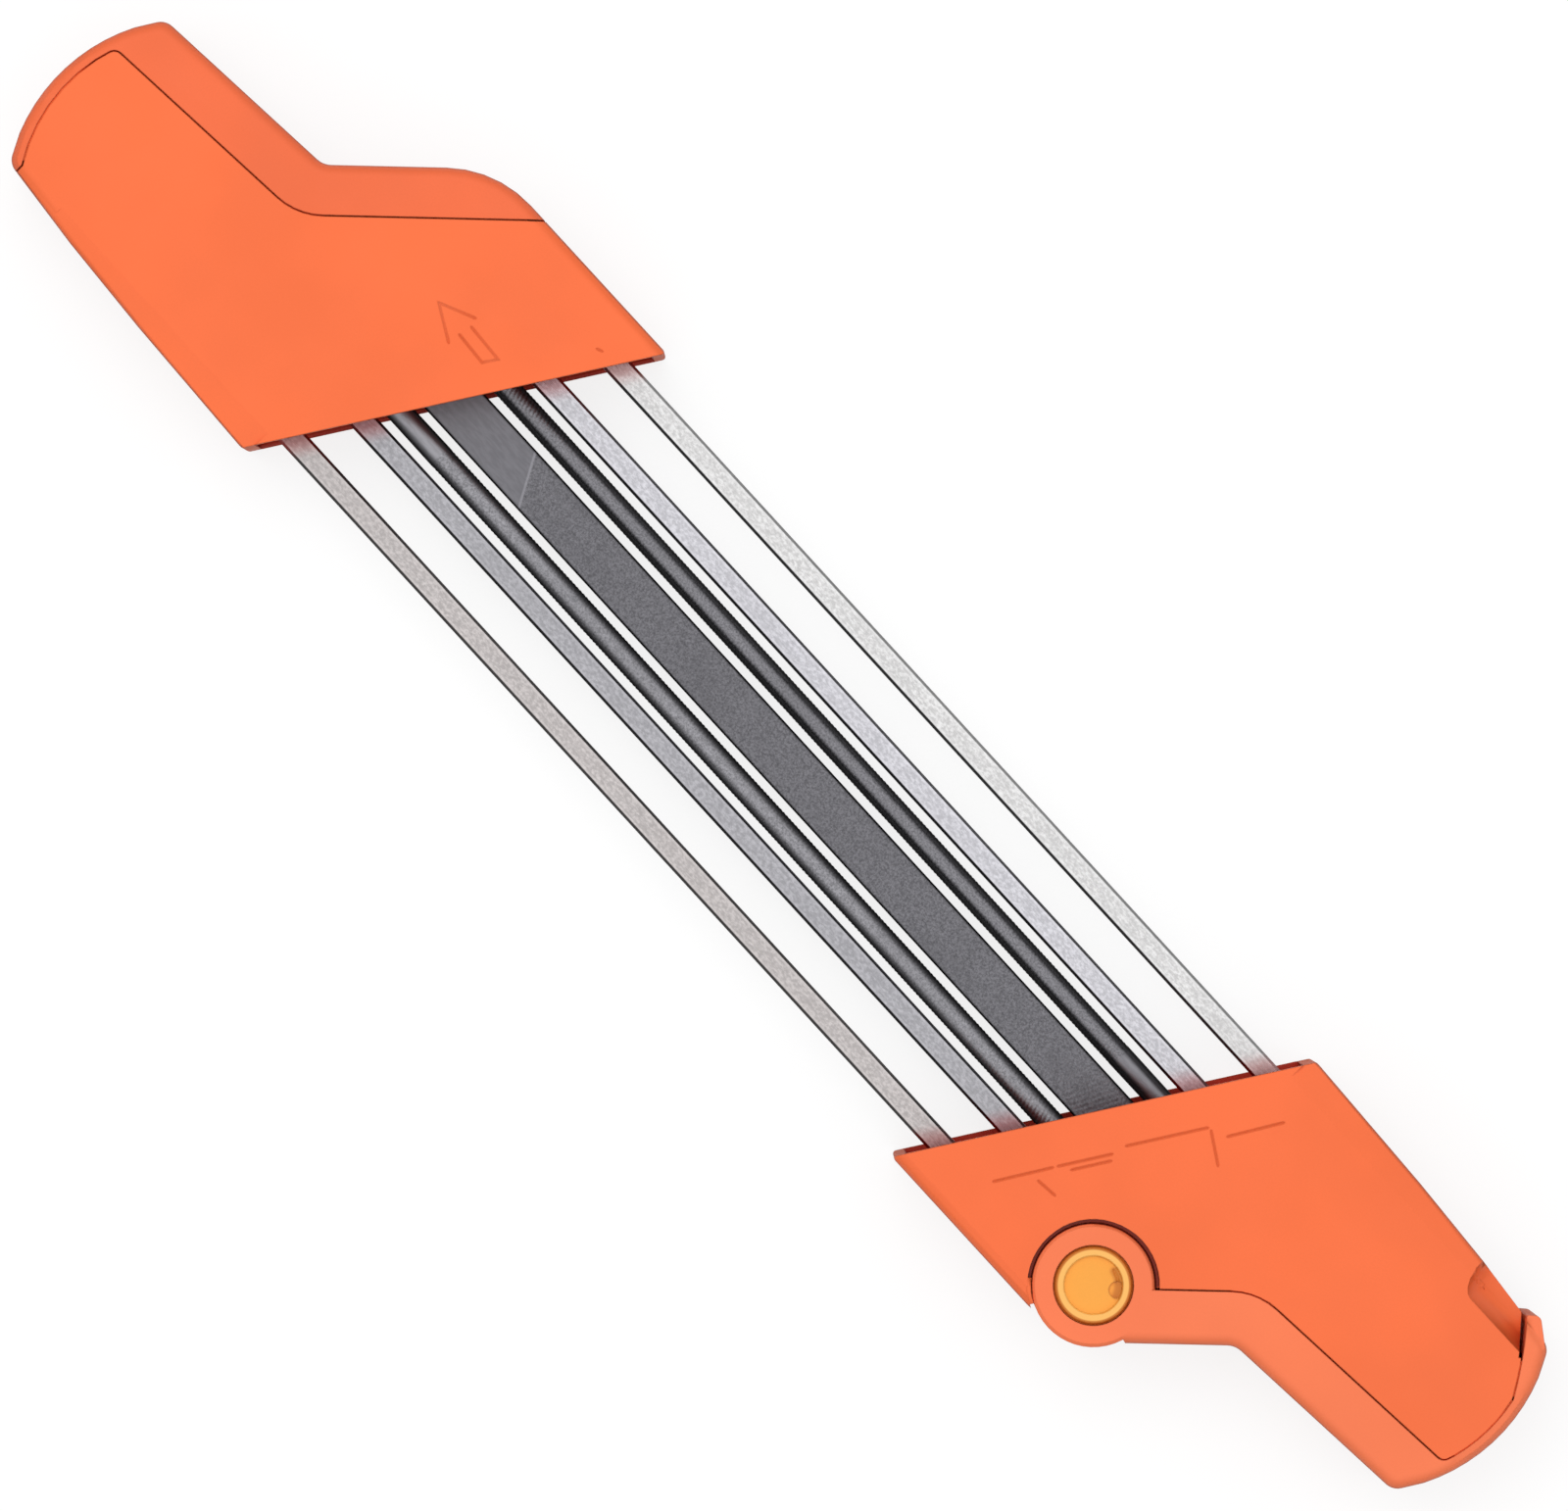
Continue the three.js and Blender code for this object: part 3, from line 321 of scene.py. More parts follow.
def plastic(name, base, edge, grain, edge_tone, stains_and_painted_light=()):
    """Moulded plastic: slow clouds of tone, a fine grain, a painted edge tone along rounded edges, and
    painted light on top.

    Its walls are duller, and painted shade makes them a little darker than its faces. Each piece of painted
    light on top is a function that gives its strength at a place, together with its colour.
    """
    cloud, patch, skin = 30 * MM, 12 * MM, 0.012 * MM
    finish = Finish(name)
    tone = finish.mottle(base, finish.noise(cloud, detail=3), 0.955, 1.03)
    speck = finish.noise(grain, detail=2)
    tone = finish.stain(tone, finish.step(speck, 0.3, 0.75, 0.0, 0.16), dim(base, 0.84))
    softened = finish.node("ShaderNodeBevel", {"Radius": edge}, samples=4).outputs[0]
    real = finish.node("ShaderNodeNewGeometry").outputs["Normal"]
    edge_shade_and_highlight = finish.maths("SUBTRACT", 1.0, finish.vector("DOT_PRODUCT", softened, real, output=1))
    # Painted edge tone along rounded edges: painted shade where the edge tone is darker than the base, a
    # painted highlight where it is lighter.
    tone = finish.stain(tone, finish.step(edge_shade_and_highlight, 0.01, 0.3, 0.0, 0.6), edge_tone)
    # Painted shade: walls that point sideways are darkened.
    tone = finish.stain(tone, finish.upward(0.5, 0.1), dim(base, 0.72))
    # Painted light on top: painted shade and painted highlights that the caller gives.
    for strength, colour in stains_and_painted_light:
        tone = finish.stain(tone, strength(finish), colour)
    rough = finish.step(finish.noise(patch, detail=3), *NOISE_SPAN, 0.42, 0.52)
    wall_gloss, face_gloss = 0.04, 0.35
    gloss = finish.maths("MULTIPLY_ADD", finish.upward(0.2, 0.7), face_gloss - wall_gloss, wall_gloss)
    finish.set(Base_Color=tone, Roughness=rough, Normal=finish.bump(speck, skin, softened),
               Specular_IOR_Level=gloss)
    return finish.material


def mouth_shade(finish, place, slope, side):
    """Painted shade in a mouth: behind the slanted plane of the mouth, and at its front on faces that point
    up.

    The outer faces of the handle are left out: the top, the underside and both side walls.
    """
    front, lining, depth = (-0.6 * MM, -0.4 * MM), (0.05 * MM, 0.5 * MM), (8 * MM, 14 * MM)
    side_wall = (HALF_WIDTH - 1.4 * MM, HALF_WIDTH - 0.8 * MM)
    underside, top = (0.3 * MM, 0.9 * MM), (TOP - 2 * MM, TOP - 1.2 * MM)
    behind = finish.maths("MULTIPLY_ADD", finish.along(slope), side, -place)
    inside = finish.step(behind, *lining)
    lip = finish.product(finish.step(behind, *front), finish.upward(0.3, 0.6))
    near = finish.step(behind, *depth, 1.0, 0.0)
    off_sides = finish.step(finish.maths("ABSOLUTE", finish.axis("Y")), *side_wall, 1.0, 0.0)
    off_underside, off_top = finish.level(*underside), finish.level(*top, 0.9, 0.0)
    return finish.product(finish.maths("MAXIMUM", inside, lip), near, off_sides, off_underside, off_top)


def knuckle_gap_shade(finish, pin):
    """Painted shade in the gap round the knuckle: between two distances from the pin, on the upper left."""
    inner, outer, soft = 11.4 * MM, 12.35 * MM, 0.15 * MM
    upper_left, border = (-0.77, 0.64, 0), (-1.6 * MM, -0.6 * MM)
    under_face = (TOP - 0.5 * MM, TOP - 0.25 * MM)
    there = finish.step(finish.vector("DOT_PRODUCT", finish.away(pin), upper_left, output=1), *border)
    return finish.product(finish.ring(pin, inner, outer, soft), there, finish.level(*under_face, 0.9, 0.0))


def groove_shade(finish, lines, width, level):
    """Painted shade in moulded lines that lie in a face at the given height."""
    solid, faded, strength = width * 0.15, width * 0.55, 0.75
    deepest, deep = level - 0.9 * MM, level - 0.8 * MM
    distance = finish.nearest([finish.line(*ends) for line in lines for ends in zip(line[:-1], line[1:])])
    return finish.product(finish.step(distance, solid, faded, strength, 0.0), finish.level(deepest, deep))


def steel(name, base, edges=None, mouth=None):
    """Drawn steel: streaks along its length, fine specks and slow stains.

    A bar's edges, where painted highlight and painted shade go, are given as the middle and the half of its
    width, and the mouths as their place, their slant and the colour of the painted reflection near them.
    """
    streak, grain, patch, skin = 0.25 * MM, 0.55 * MM, 16 * MM, 0.006 * MM
    finish = Finish(name)
    streaks = finish.noise(streak, detail=3, stretch=(120, 1, 1))
    tone = finish.mottle(base, streaks, 0.92, 1.06)
    speck = finish.noise(grain, detail=3, stretch=(1.6, 1, 1), roughness=0.7)
    tone = finish.blend(finish.step(speck, 0.35, 0.6), opaque(dim(base, 0.78)), tone)
    tone = finish.stain(tone, finish.step(speck, 0.5, 0.7, 0.0, 0.65), dim(base, 1.25))
    stains_and_painted_light = finish.noise(patch, detail=4, stretch=(2.5, 0.5, 1))
    tone = finish.stain(tone, finish.step(stains_and_painted_light, 0.45, 0.75, 0.0, 0.22), dim(base, 0.72))
    if edges:
        tone = bar_edges(finish, tone, base, *edges)
    if mouth:
        # Painted reflection of the orange mouths: a dark red tint near them.
        tone = mouth_reflection(finish, tone, *mouth)
    finish.set(Base_Color=tone, Metallic=1.0, Roughness=finish.step(streaks, *NOISE_SPAN, 0.26, 0.38),
               Normal=finish.bump(speck, skin))
    return finish.material


def bar_edges(finish, tone, base, middle, half_width):
    """Painted highlight in a band near each long edge of a bar, and painted shade in a line along the edge,
    the darker on the left.
    """
    band, left_line, right_line, band_soft, line_soft = 1.1 * MM, 0.65 * MM, 0.6 * MM, 0.3 * MM, 0.2 * MM
    side = finish.maths("SUBTRACT", finish.axis("Y"), middle)
    inside = half_width - band
    # Painted highlight near each long edge.
    bright = finish.step(finish.maths("ABSOLUTE", side), inside, inside + band_soft, 0.0, 0.35)
    tone = finish.stain(tone, bright, dim(base, 1.3))
    low, high = left_line - half_width, half_width - right_line
    # Painted shade along each long edge.
    dark = finish.maths("MAXIMUM", finish.step(side, low, low - line_soft, 0.0, 0.95),
                        finish.step(side, high, high + line_soft, 0.0, 0.62))
    return finish.stain(tone, dark, dim(base, 0.08))


def mouth_reflection(finish, tone, place, slope, dust_and_reflection):
    """A painted reflection of the plastic, a dark red tint on a bar near the slanted mouths."""
    reach, front, strength = 5 * MM, 0.5 * MM, 0.4
    out = finish.maths("ABSOLUTE", finish.along(slope))
    return finish.stain(tone, finish.step(out, place - reach, place - front, 0.0, strength), dust_and_reflection)


def cut_steel(name, base, heel, sides, blunt, border, slant=0.0):
    """Hardened file steel: dull and speckled between the teeth, smoother on the heel, and darkened at its
    sides by painted shade.

    The heel is the part between two places along the X axis, whose borders lean by the slant across the
    file. A slanted border has a thin painted highlight where the teeth begin. The sides are given as the
    middle and the half of the file's width. The painted shade grows from nothing at border, a share of the
    half width, to its full strength near the side.
    """
    middle, half_width = sides
    grain, patch, scratch, skin = 0.4 * MM, 9 * MM, 0.6 * MM, 0.015 * MM
    heel_soft, line, side_end = 0.3 * MM, (0.1 * MM, 0.4 * MM), 0.97 * half_width
    finish = Finish(name)
    grit = finish.noise(grain, detail=4, roughness=0.75)
    stains_and_painted_light = finish.noise(patch, detail=4, stretch=(3, 0.6, 1))
    tone = finish.mottle(base, grit, 0.58, 1.34)
    tone = finish.stain(tone, finish.step(stains_and_painted_light, 0.4, 0.7, 0.0, 0.25), dim(base, 0.6))
    low, high = heel
    side = finish.maths("SUBTRACT", finish.axis("Y"), middle)
    along = finish.maths("MULTIPLY_ADD", side, slant, finish.axis("X"))
    bare = finish.product(finish.step(along, low, low + heel_soft),
                          finish.step(along, high - heel_soft, high, 1.0, 0.0))
    plain = finish.mottle(base, finish.noise(scratch, detail=2, stretch=(4, 1, 1)), 1.02, 1.2)
    tone = finish.blend(bare, tone, plain)
    if slant:
        away = finish.maths("ABSOLUTE", finish.maths("SUBTRACT", along, high))
        # Painted highlight: a thin bright line along the slanted border of the heel.
        tone = finish.stain(tone, finish.step(away, *line, 0.55, 0.0), dim(base, 2.1))
    # Painted shade: darker towards the sides of the file.
    shadow = finish.step(finish.maths("ABSOLUTE", side), border * half_width, side_end)
    tone = finish.stain(tone, finish.maths("MULTIPLY", shadow, 0.97), dim(base, 0.02))
    rough = finish.step(shadow, 0.5, 1.0, blunt, 0.9)
    finish.set(Base_Color=tone, Metallic=1.0, Roughness=rough, Normal=finish.bump(grit, skin))
    return finish.material


def rubber(name, base):
    """Soft black rubber with a matt, slightly dusty skin."""
    grain, patch, skin = 0.5 * MM, 6 * MM, 0.06 * MM
    finish = Finish(name)
    pores = finish.noise(grain, detail=4)
    dust_and_reflection = finish.noise(patch, detail=3)
    tone = finish.stain(opaque(base), finish.step(dust_and_reflection, 0.35, 0.7, 0.0, 0.4), dim(base, 2.2))
    finish.set(Base_Color=tone, Roughness=finish.step(pores, *NOISE_SPAN, 0.7, 0.9),
               Normal=finish.bump(pores, skin))
    return finish.material


def add(name, mesh, material, body, slot, *nodes):
    """Puts a finished mesh into the scene, on its body and in place of its nodes."""
    piece = bpy.data.objects.new(name, mesh)
    bpy.context.scene.collection.objects.link(piece)
    mesh.materials.clear()
    mesh.materials.append(material)
    even = piece.modifiers.new("Even Shading", "WEIGHTED_NORMAL")
    even.mode = "FACE_AREA"
    even.weight = 80
    even.keep_sharp = True
    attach(piece, body)
    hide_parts(*nodes)


def worked(mesh, tools, operation):
    """A mesh to which closed shells have been added, or from which they have been cut.

    The work is done in millimetres, because small differences count as none in it.
    """
    work = bmesh.new()
    for tool in tools:
        work.from_mesh(tool)
    together = bpy.data.meshes.new("tools")
    work.to_mesh(together)
    work.free()
    larger = Matrix.Scale(1 / MM, 4)
    for part in (mesh, together):
        part.transform(larger)
    blank, cutter = bpy.data.objects.new("blank", mesh), bpy.data.objects.new("cutter", together)
    for thing in (blank, cutter):
        bpy.context.scene.collection.objects.link(thing)
    step = blank.modifiers.new("Step", "BOOLEAN")
    step.object = cutter
    step.operation = operation
    step.solver = "EXACT"
    bpy.context.view_layer.update()
    ready = blank.evaluated_get(bpy.context.evaluated_depsgraph_get())
    result = bpy.data.meshes.new_from_object(ready)
    result.transform(larger.inverted())
    result.name = mesh.name
    for thing in (blank, cutter):
        bpy.data.objects.remove(thing)
    return result


def merged(node, name, cut=(), added=()):
    """A smooth copy of a CAD node: its corners at one place are merged, and faces in one plane are joined.

    Before the faces are joined, closed shells may be cut from the copy and others added to it.
    """
    one_place, one_plane, crease = 0.001 * MM, math.radians(0.2), math.radians(32)
    work = bmesh.new()
    work.from_mesh(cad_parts[node].data)
    bmesh.ops.remove_doubles(work, verts=work.verts, dist=one_place)
    mesh = bpy.data.meshes.new(name)
    work.to_mesh(mesh)
    for tools, operation in ((cut, "DIFFERENCE"), (added, "UNION")):
        if tools:
            mesh = worked(mesh, tools, operation)
    work.clear()
    work.from_mesh(mesh)
    bmesh.ops.remove_doubles(work, verts=work.verts, dist=one_place)
    bmesh.ops.dissolve_limit(work, angle_limit=one_plane, verts=work.verts, edges=work.edges)
    work.to_mesh(mesh)
    work.free()
    mesh.shade_smooth()
    mesh.set_sharp_from_angle(angle=crease)
    return mesh


def top_loop(mesh):
    """The corners in plan of a mesh's largest level upper face, in order and anticlockwise."""
    almost_upright = 0.999
    level = [face for face in mesh.polygons if face.normal.z > almost_upright]
    face = max(level, key=lambda face: face.area)
    return np.array([mesh.vertices[index].co[:2] for index in face.vertices])


def distances(places, loop):
    """The distance of each place in plan from the nearest side of a closed loop."""
    smallest = 1e-18
    start, run = loop[None], (np.roll(loop, -1, axis=0) - loop)[None]
    away = places[:, None] - start
    share = np.clip((away * run).sum(-1) / np.maximum((run * run).sum(-1), smallest), 0, 1)
    return np.linalg.norm(away - share[..., None] * run, axis=-1).min(axis=1)


def directions(path):
    """The direction of each piece of a line in plan."""
    run = np.diff(path, axis=0)
    return run / np.linalg.norm(run, axis=1, keepdims=True)


def about(centre, reach, turn):
    """The places in plan at a distance from a centre and at an angle in degrees."""
    turn = np.radians(turn)
    return centre[0] + reach * np.cos(turn), centre[1] + reach * np.sin(turn)


def across(path):
    """The direction across a line at each of its points, to the left.

    It is drawn out by one over the cosine of half the turn, so that a strip along the line keeps its width.
    """
    run = directions(path)
    after = np.vstack([run, run[-1:]])
    middle = np.vstack([run[:1], run]) + after
    middle /= np.linalg.norm(middle, axis=1, keepdims=True)
    return np.stack([-middle[:, 1], middle[:, 0]], axis=1) / (middle * after).sum(1)[:, None]


def seam_path(mesh, strip):
    """The parting line on a handle's upper outline, and how many of its points lie along the strip.

    It starts where the outline comes close to the strip's, and after that goes on along the end of the
    handle, up to the first sharp turn. Points that stand close together are thinned out, and both its ends
    are drawn in.
    """
    close, sharp, least, drawn_in = 0.45 * MM, math.radians(15), 0.2 * MM, 0.15 * MM
    loop = top_loop(mesh)
    near = distances(loop, top_loop(strip)) < close
    first = next(index for index in range(len(loop)) if near[index] and not near[index - 1])
    loop, count = np.roll(loop, -first, axis=0), int(near.sum())
    run = directions(loop)
    level = (run[1:] * run[:-1]).sum(1) > math.cos(sharp)
    last = next(index for index in range(count, len(level)) if not level[index]) + 2
    apart = np.append(np.linalg.norm(np.diff(loop[:last], axis=0), axis=1) > least, True)
    path = loop[:last][apart]
    path[0] += directions(path)[0] * drawn_in
    path[-1] -= directions(path)[-1] * drawn_in
    return path, int(apart[:count].sum())


def seam_ribs(mesh, strip, drop, end_drop):
    """Two ribs that stand out of a handle's side of the parting line and nearly fill it.

    The profile is an upright rectangle, carried along the parting line. The upper rib lies under the face by
    the drop, or by the end drop along the end of the handle, and the lower one mirrors it.
    """
    depth, inner, outer = 2.6 * MM, -0.3 * MM, 0.31 * MM
    path, straight = seam_path(mesh, strip)
    outward = -across(path)
    top = TOP - np.where(np.arange(len(path)) < straight, drop, end_drop)
    foot = TOP - depth
    ribs = []
    for low, high in ((foot, top), (TOP - top, TOP - foot)):
        grid = np.empty((len(path), 4, 3))
        for column, (reach, height) in enumerate(((inner, low), (inner, high), (outer, high), (outer, low))):
            grid[:, column, :2] = path + outward * reach
            grid[:, column, 2] = height
        ribs.append(surface("rib", grid))
    return ribs


def groove(line, width, depth, level):
    """A round-ended channel along a line in a level face, as a closed shell to cut with.

    Its floor is a cosine across the line, the depth below the face in the middle and at the face on both
    sides. At each end the channel narrows and rises like half a circle. The shell reaches above the face.
    """
    skin, above = 0.02 * MM, 0.3 * MM
    path = np.array(line)
    turn = np.radians((84, 60, 30))
    ends = len(turn)
    first, last = directions(path)[[0, -1]]
    over = width / 2 * np.sin(turn)[:, None]
    place = np.vstack([path[0] - over * first, path, path[-1] + over[::-1] * last])
    side = across(path)
    side = np.vstack([np.repeat(side[:1], ends, axis=0), side, np.repeat(side[-1:], ends, axis=0)])
    share = np.concatenate([np.cos(turn), np.ones(len(path)), np.cos(turn[::-1])])[:, None]
    floor = np.linspace(-1, 1, 9)
    offset = np.concatenate([floor, (1, -1)])[None, :] * share * width / 2
    sunk = skin - (depth + skin) * (0.5 + 0.5 * np.cos(np.pi * floor))[None, :] * share
    grid = np.empty((len(place), len(floor) + 2, 3))
    grid[..., :2] = place[:, None] + offset[..., None] * side[:, None]
    grid[:, :len(floor), 2] = level + sunk
    grid[:, len(floor):, 2] = level + above
    return surface("groove", grid)


def grooves(lines, width, depth, level):
    """One channel for each line."""
    return [groove(line, width, depth, level) for line in lines]


def knuckle_fill(pin):
    """Fills the end of the gap round the knuckle, where the body and the knuckle look like one.

    A place is at angle t and distance r from the pin. Its top follows the rounded edge of the body: at a
    distance d inside the body's straight side, R - sqrt(R R - (R - d)(R - d)) under the face, with the edge
    radius R.
    """
    radius, sunk = 2.4 * MM, 0.03 * MM
    turn = np.linspace(-139.5, -115.6, 13)[:, None]
    reach = np.array((11.56, 11.8, 12.1, 12.42))[None, :] * MM
    x, y = about(pin, reach, turn)
    inside = np.clip(radius - (y + HALF_WIDTH), 0, radius)
    drop = radius - np.sqrt(radius ** 2 - inside ** 2) + sunk
    return mirrored(x, y, TOP - drop)


def ring_parts(centre, turns, reach, sunk):
    """Parts of a ring about an upright axis, near the top and mirrored near the bottom.

    They lie between two angles in degrees, two distances from the axis and two distances under the face.
    """
    points = 49
    inner, outer = reach
    away = np.array((inner, outer, outer, inner))[None, :]
    x, y = about(centre, away, np.linspace(*turns, points)[:, None])
    parts = []
    for low, high in ((TOP - sunk[1], TOP - sunk[0]), sunk):
        height = np.array((high, high, low, low))[None, :]
        parts.append(surface("ring", np.stack(np.broadcast_arrays(x, y, height), axis=-1)))
    return parts


def relief_fill():
    """Fills the narrow slit between the block behind the finger relief and the outer wall.

    Its top follows the relief, whose facets lie a little above this height:
    H - r sqrt(1 - (y - v)(y - v) / (r r) - (u - x)(u - x) / (e e)). The trough has its axis at height H and
    across place v, with the radius r, and its rounded end starts at place u along it, with the length e.
    """
    trough, rise, side = 8.3 * MM, 2 * MM, 34.41 * MM
    start, end = 160.94 * MM, 4 * MM
    facet, least_depth = 0.15 * MM, 2 * MM
    x = np.linspace(155.2, 161.2, 31)[:, None] * MM
    y = np.array((30.2, 29.9, 29.6, 29.3))[None, :] * MM
    ahead = np.clip(start - x, 0, None) / end
    bowl = 1 - ((y - side) / trough) ** 2 - ahead ** 2
    top = TOP + rise - trough * np.sqrt(np.clip(bowl, 0, 1)) + facet
    return mirrored(x, y, np.minimum(top, TOP - least_depth))


def gap_fills(pin):
    """Fills what looks closed round the flap: gaps at its knuckle and its latch, and two narrow slits."""
    knuckle = ring_parts(pin, turns=(44.9, 220.4), reach=(11.62 * MM, 12.42 * MM), sunk=(1.2 * MM, 3 * MM))
    latch = ring_parts(pin, turns=(32.6, 37.5), reach=(80.1 * MM, 80.75 * MM), sunk=(0.4 * MM, 2.6 * MM))
    return [knuckle_fill(pin), relief_fill(), *knuckle, *latch]


def surface(name, grid):
    """A closed mesh over a grid of points whose rows go along and whose columns go round.

    Each four neighbours make a face, the last column joins the first, and one flat face shuts each end.
    """
    crease = math.radians(40)
    rows, columns = grid.shape[:2]
    index = np.arange(rows * columns).reshape(rows, columns)
    ahead = np.roll(index, -1, axis=1)
    faces = np.stack([index[:-1], ahead[:-1], ahead[1:], index[1:]], axis=-1).reshape(-1, 4)
    corners = np.concatenate([faces.ravel(), index[0, ::-1], index[-1]]).astype(np.int32)
    count = len(faces)
    starts = np.concatenate([np.arange(count) * 4, [count * 4, count * 4 + columns]]).astype(np.int32)
    mesh = bpy.data.meshes.new(name)
    mesh.vertices.add(rows * columns)
    mesh.vertices.foreach_set("co", grid.astype(np.float32).ravel())
    mesh.loops.add(len(corners))
    mesh.loops.foreach_set("vertex_index", corners)
    mesh.polygons.add(len(starts))
    mesh.polygons.foreach_set("loop_start", starts)
    mesh.update(calc_edges=True)
    mesh.validate()
    mesh.shade_smooth()
    mesh.set_sharp_from_angle(angle=crease)
    return mesh


def mirrored(x, y, height):
    """A closed mesh between a surface near the top, over a grid of places in plan, and its mirror below."""
    upper = np.stack(np.broadcast_arrays(x, y, height), axis=-1)
    lower = upper * (1, 1, -1) + (0, 0, TOP)
    return surface("fill", np.concatenate([lower[:, :1], upper, lower[:, :0:-1]], axis=1))


def tooth(turns):
    """A saw tooth from 0 at its tip to 1 at its root, once a turn: a slow back and a steep front."""
    back = 0.75
    part = turns % 1.0
    return np.where(part < back, part / back, (1 - part) / (1 - back))


def round_file(name, node, settings, heel_at_start):
    """A round file with spiral teeth.

    At a distance x along it and an angle t round it, the radius is the file's radius less the tooth depth
    times a saw tooth in x / pitch - starts * t / 360. The teeth fade out over a millimetre before the smooth
    heel and the far end, which are a little thinner, and the last half millimetre of each end slopes in.
    """
    uncut, slope, fade_length, thinner = 0.6 * MM, 0.5 * MM, MM, 0.12 * MM
    rows_a_pitch, columns = 4, 40
    low, high = (np.array(corner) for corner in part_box(node))
    middle = (low + high) / 2
    radius = (high[2] - low[2]) / 2
    pitch = settings.round_pitch
    before, after = (settings.heel, uncut) if heel_at_start else (uncut, settings.heel)
    cut_from, cut_to = low[0] + before, high[0] - after
    teeth = np.arange(cut_from, cut_to, pitch / rows_a_pitch)
    ends = [low[0], low[0] + slope, high[0] - slope, high[0]]
    along = np.unique(np.concatenate([teeth, ends]))[:, None]
    angle = np.linspace(0, 2 * np.pi, columns, endpoint=False)[None, :]
    turns = along / pitch - settings.round_starts * angle / (2 * np.pi)
    fade = np.clip((along - cut_from) / fade_length, 0, 1) * np.clip((cut_to - along) / fade_length, 0, 1)
    end = np.minimum(along - low[0], high[0] - along)
    bare = np.where((along < cut_from) | (along > cut_to), thinner, 0.0)
    size = radius - bare - fade * settings.round_depth * tooth(turns) - np.clip(slope - end, 0, slope)
    grid = np.empty((len(along), columns, 3))
    grid[..., 0] = along
    grid[..., 1] = middle[1] + size * np.cos(angle)
    grid[..., 2] = middle[2] + size * np.sin(angle)
    return surface(name, grid)


def flat_file(name, node, settings):
    """A flat file with two crossed rows of cuts on each broad face.

    The profile is a rectangle with small slanted corners. On the broad faces the surface sinks by the cut
    depth times the deeper of two saw teeth: one in (x + 0.9 y) / pitch and one in (x - 0.45 y) / pitch. The
    cuts stop short of the long edges, of the far end and of the smooth heel, whose border leans.
    """
    corner, slope, fade_length = 0.35 * MM, 0.4 * MM, 0.4 * MM
    uncut, plain_end, end_fade = 0.6 * MM, MM, MM
    first_slant, second_slant = 0.9, -0.45
    rows_a_pitch, columns, edge_columns = 4, 34, 4
    low, high = (np.array(place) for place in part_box(node))
    middle = (low + high) / 2
    half_width, half_depth = (high[1:] - low[1:]) / 2
    broad = np.linspace(half_width - corner, corner - half_width, columns)
    narrow = np.linspace(half_depth - corner, corner - half_depth, edge_columns)
    left, right = np.full(edge_columns, -half_width), np.full(edge_columns, half_width)
    upper, lower = np.full(columns, half_depth), np.full(columns, -half_depth)
    side = np.concatenate([broad, left, broad[::-1], right])[None, :]
    upward = np.concatenate([upper, narrow, lower, narrow[::-1]])[None, :]
    border = low[0] + settings.flat_heel - settings.flat_slant * side
    cut_from = low[0] + settings.flat_heel - settings.flat_slant * half_width
    teeth = np.arange(cut_from, high[0] - uncut, settings.flat_pitch / rows_a_pitch)
    ends = [low[0], low[0] + slope, high[0] - slope, high[0]]
    along = np.unique(np.concatenate([teeth, ends]))[:, None]
    cuts = np.maximum(tooth((along + first_slant * side) / settings.flat_pitch),
                      tooth((along + second_slant * side) / settings.flat_pitch))
    fade = np.clip((along - border) / fade_length, 0, 1)
    fade = fade * np.clip((high[0] - plain_end - along) / end_fade, 0, 1)
    fade = fade * np.clip((half_width - corner - np.abs(side)) / fade_length, 0, 1)
    fade = fade * (np.abs(upward) == half_depth)
    end = np.clip(slope - np.minimum(along - low[0], high[0] - along), 0, slope)
    grid = np.empty((len(along), side.shape[1], 3))
    grid[..., 0] = along
    grid[..., 1] = middle[1] + side * (1 - end / half_width)
    drop = np.sign(upward) * fade * settings.flat_depth * cuts
    grid[..., 2] = middle[2] + upward * (1 - end / half_depth) - drop
    return surface(name, grid)


def millimetres(*points):
    """A line through places in plan that are given in millimetres."""
    return [(x * MM, y * MM) for x, y in points]


def arrow_marks():
    """The arrow on the front handle, whose head and shaft are one line each, and the dot by the mouth."""
    head = millimetres((-97.9, 13.2), (-104.5, 10.2), (-97.9, 6.6))
    shaft = millimetres((-96.9, 11.6), (-89.3, 11.2), (-90.9, 8.6), (-97.4, 9.0))
    dot = millimetres((-78.2, 26.1), (-77.5, 26.4))
    return [head, shaft, dot]


def scale_marks():
    """A plain broken line along the rear handle's mouth, with a few short ticks."""
    return [millimetres((85.2, -24), (90.6, -14.4)), millimetres((91.2, -13.3), (96.2, -4.6)),
            millimetres((97, -1.4), (104.6, 11.8)), millimetres((108.4, 13.6), (113.4, 22.8)),
            millimetres((105.6, 11.9), (111, 8.6)), millimetres((90.8, -17.9), (94.6, -17.5)),
            millimetres((93.4, -11.9), (97, -5.6))]


def notch_marks(pin):
    """A curved line in the dish of the pin's head."""
    reach, turn = 4.7 * MM, (24, 39, 53, 67, 81)
    return [np.stack(about(pin, reach, turn), axis=1).tolist()]


def pin_place():
    """The hinge pin's axis in plan."""
    low, high = (np.array(corner[:2]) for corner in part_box("hinge_pin"))
    return tuple(((low + high) / 2).tolist())


def width_of(node):
    """The middle and the half of a node's width."""
    low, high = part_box(node)
    return (low[1] + high[1]) / 2, (high[1] - low[1]) / 2


def moulding(settings, name, mesh, body, base, stains_and_painted_light, node):
    """Puts an orange moulding into the scene, in a plastic of its own."""
    # The edge tone is half the base colour: painted shade along rounded edges.
    material = plastic(name + "_plastic", base, settings.edge, settings.grain, dim(base, 0.5), stains_and_painted_light)
    add(name, mesh, material, body, "orange_plastic", node)


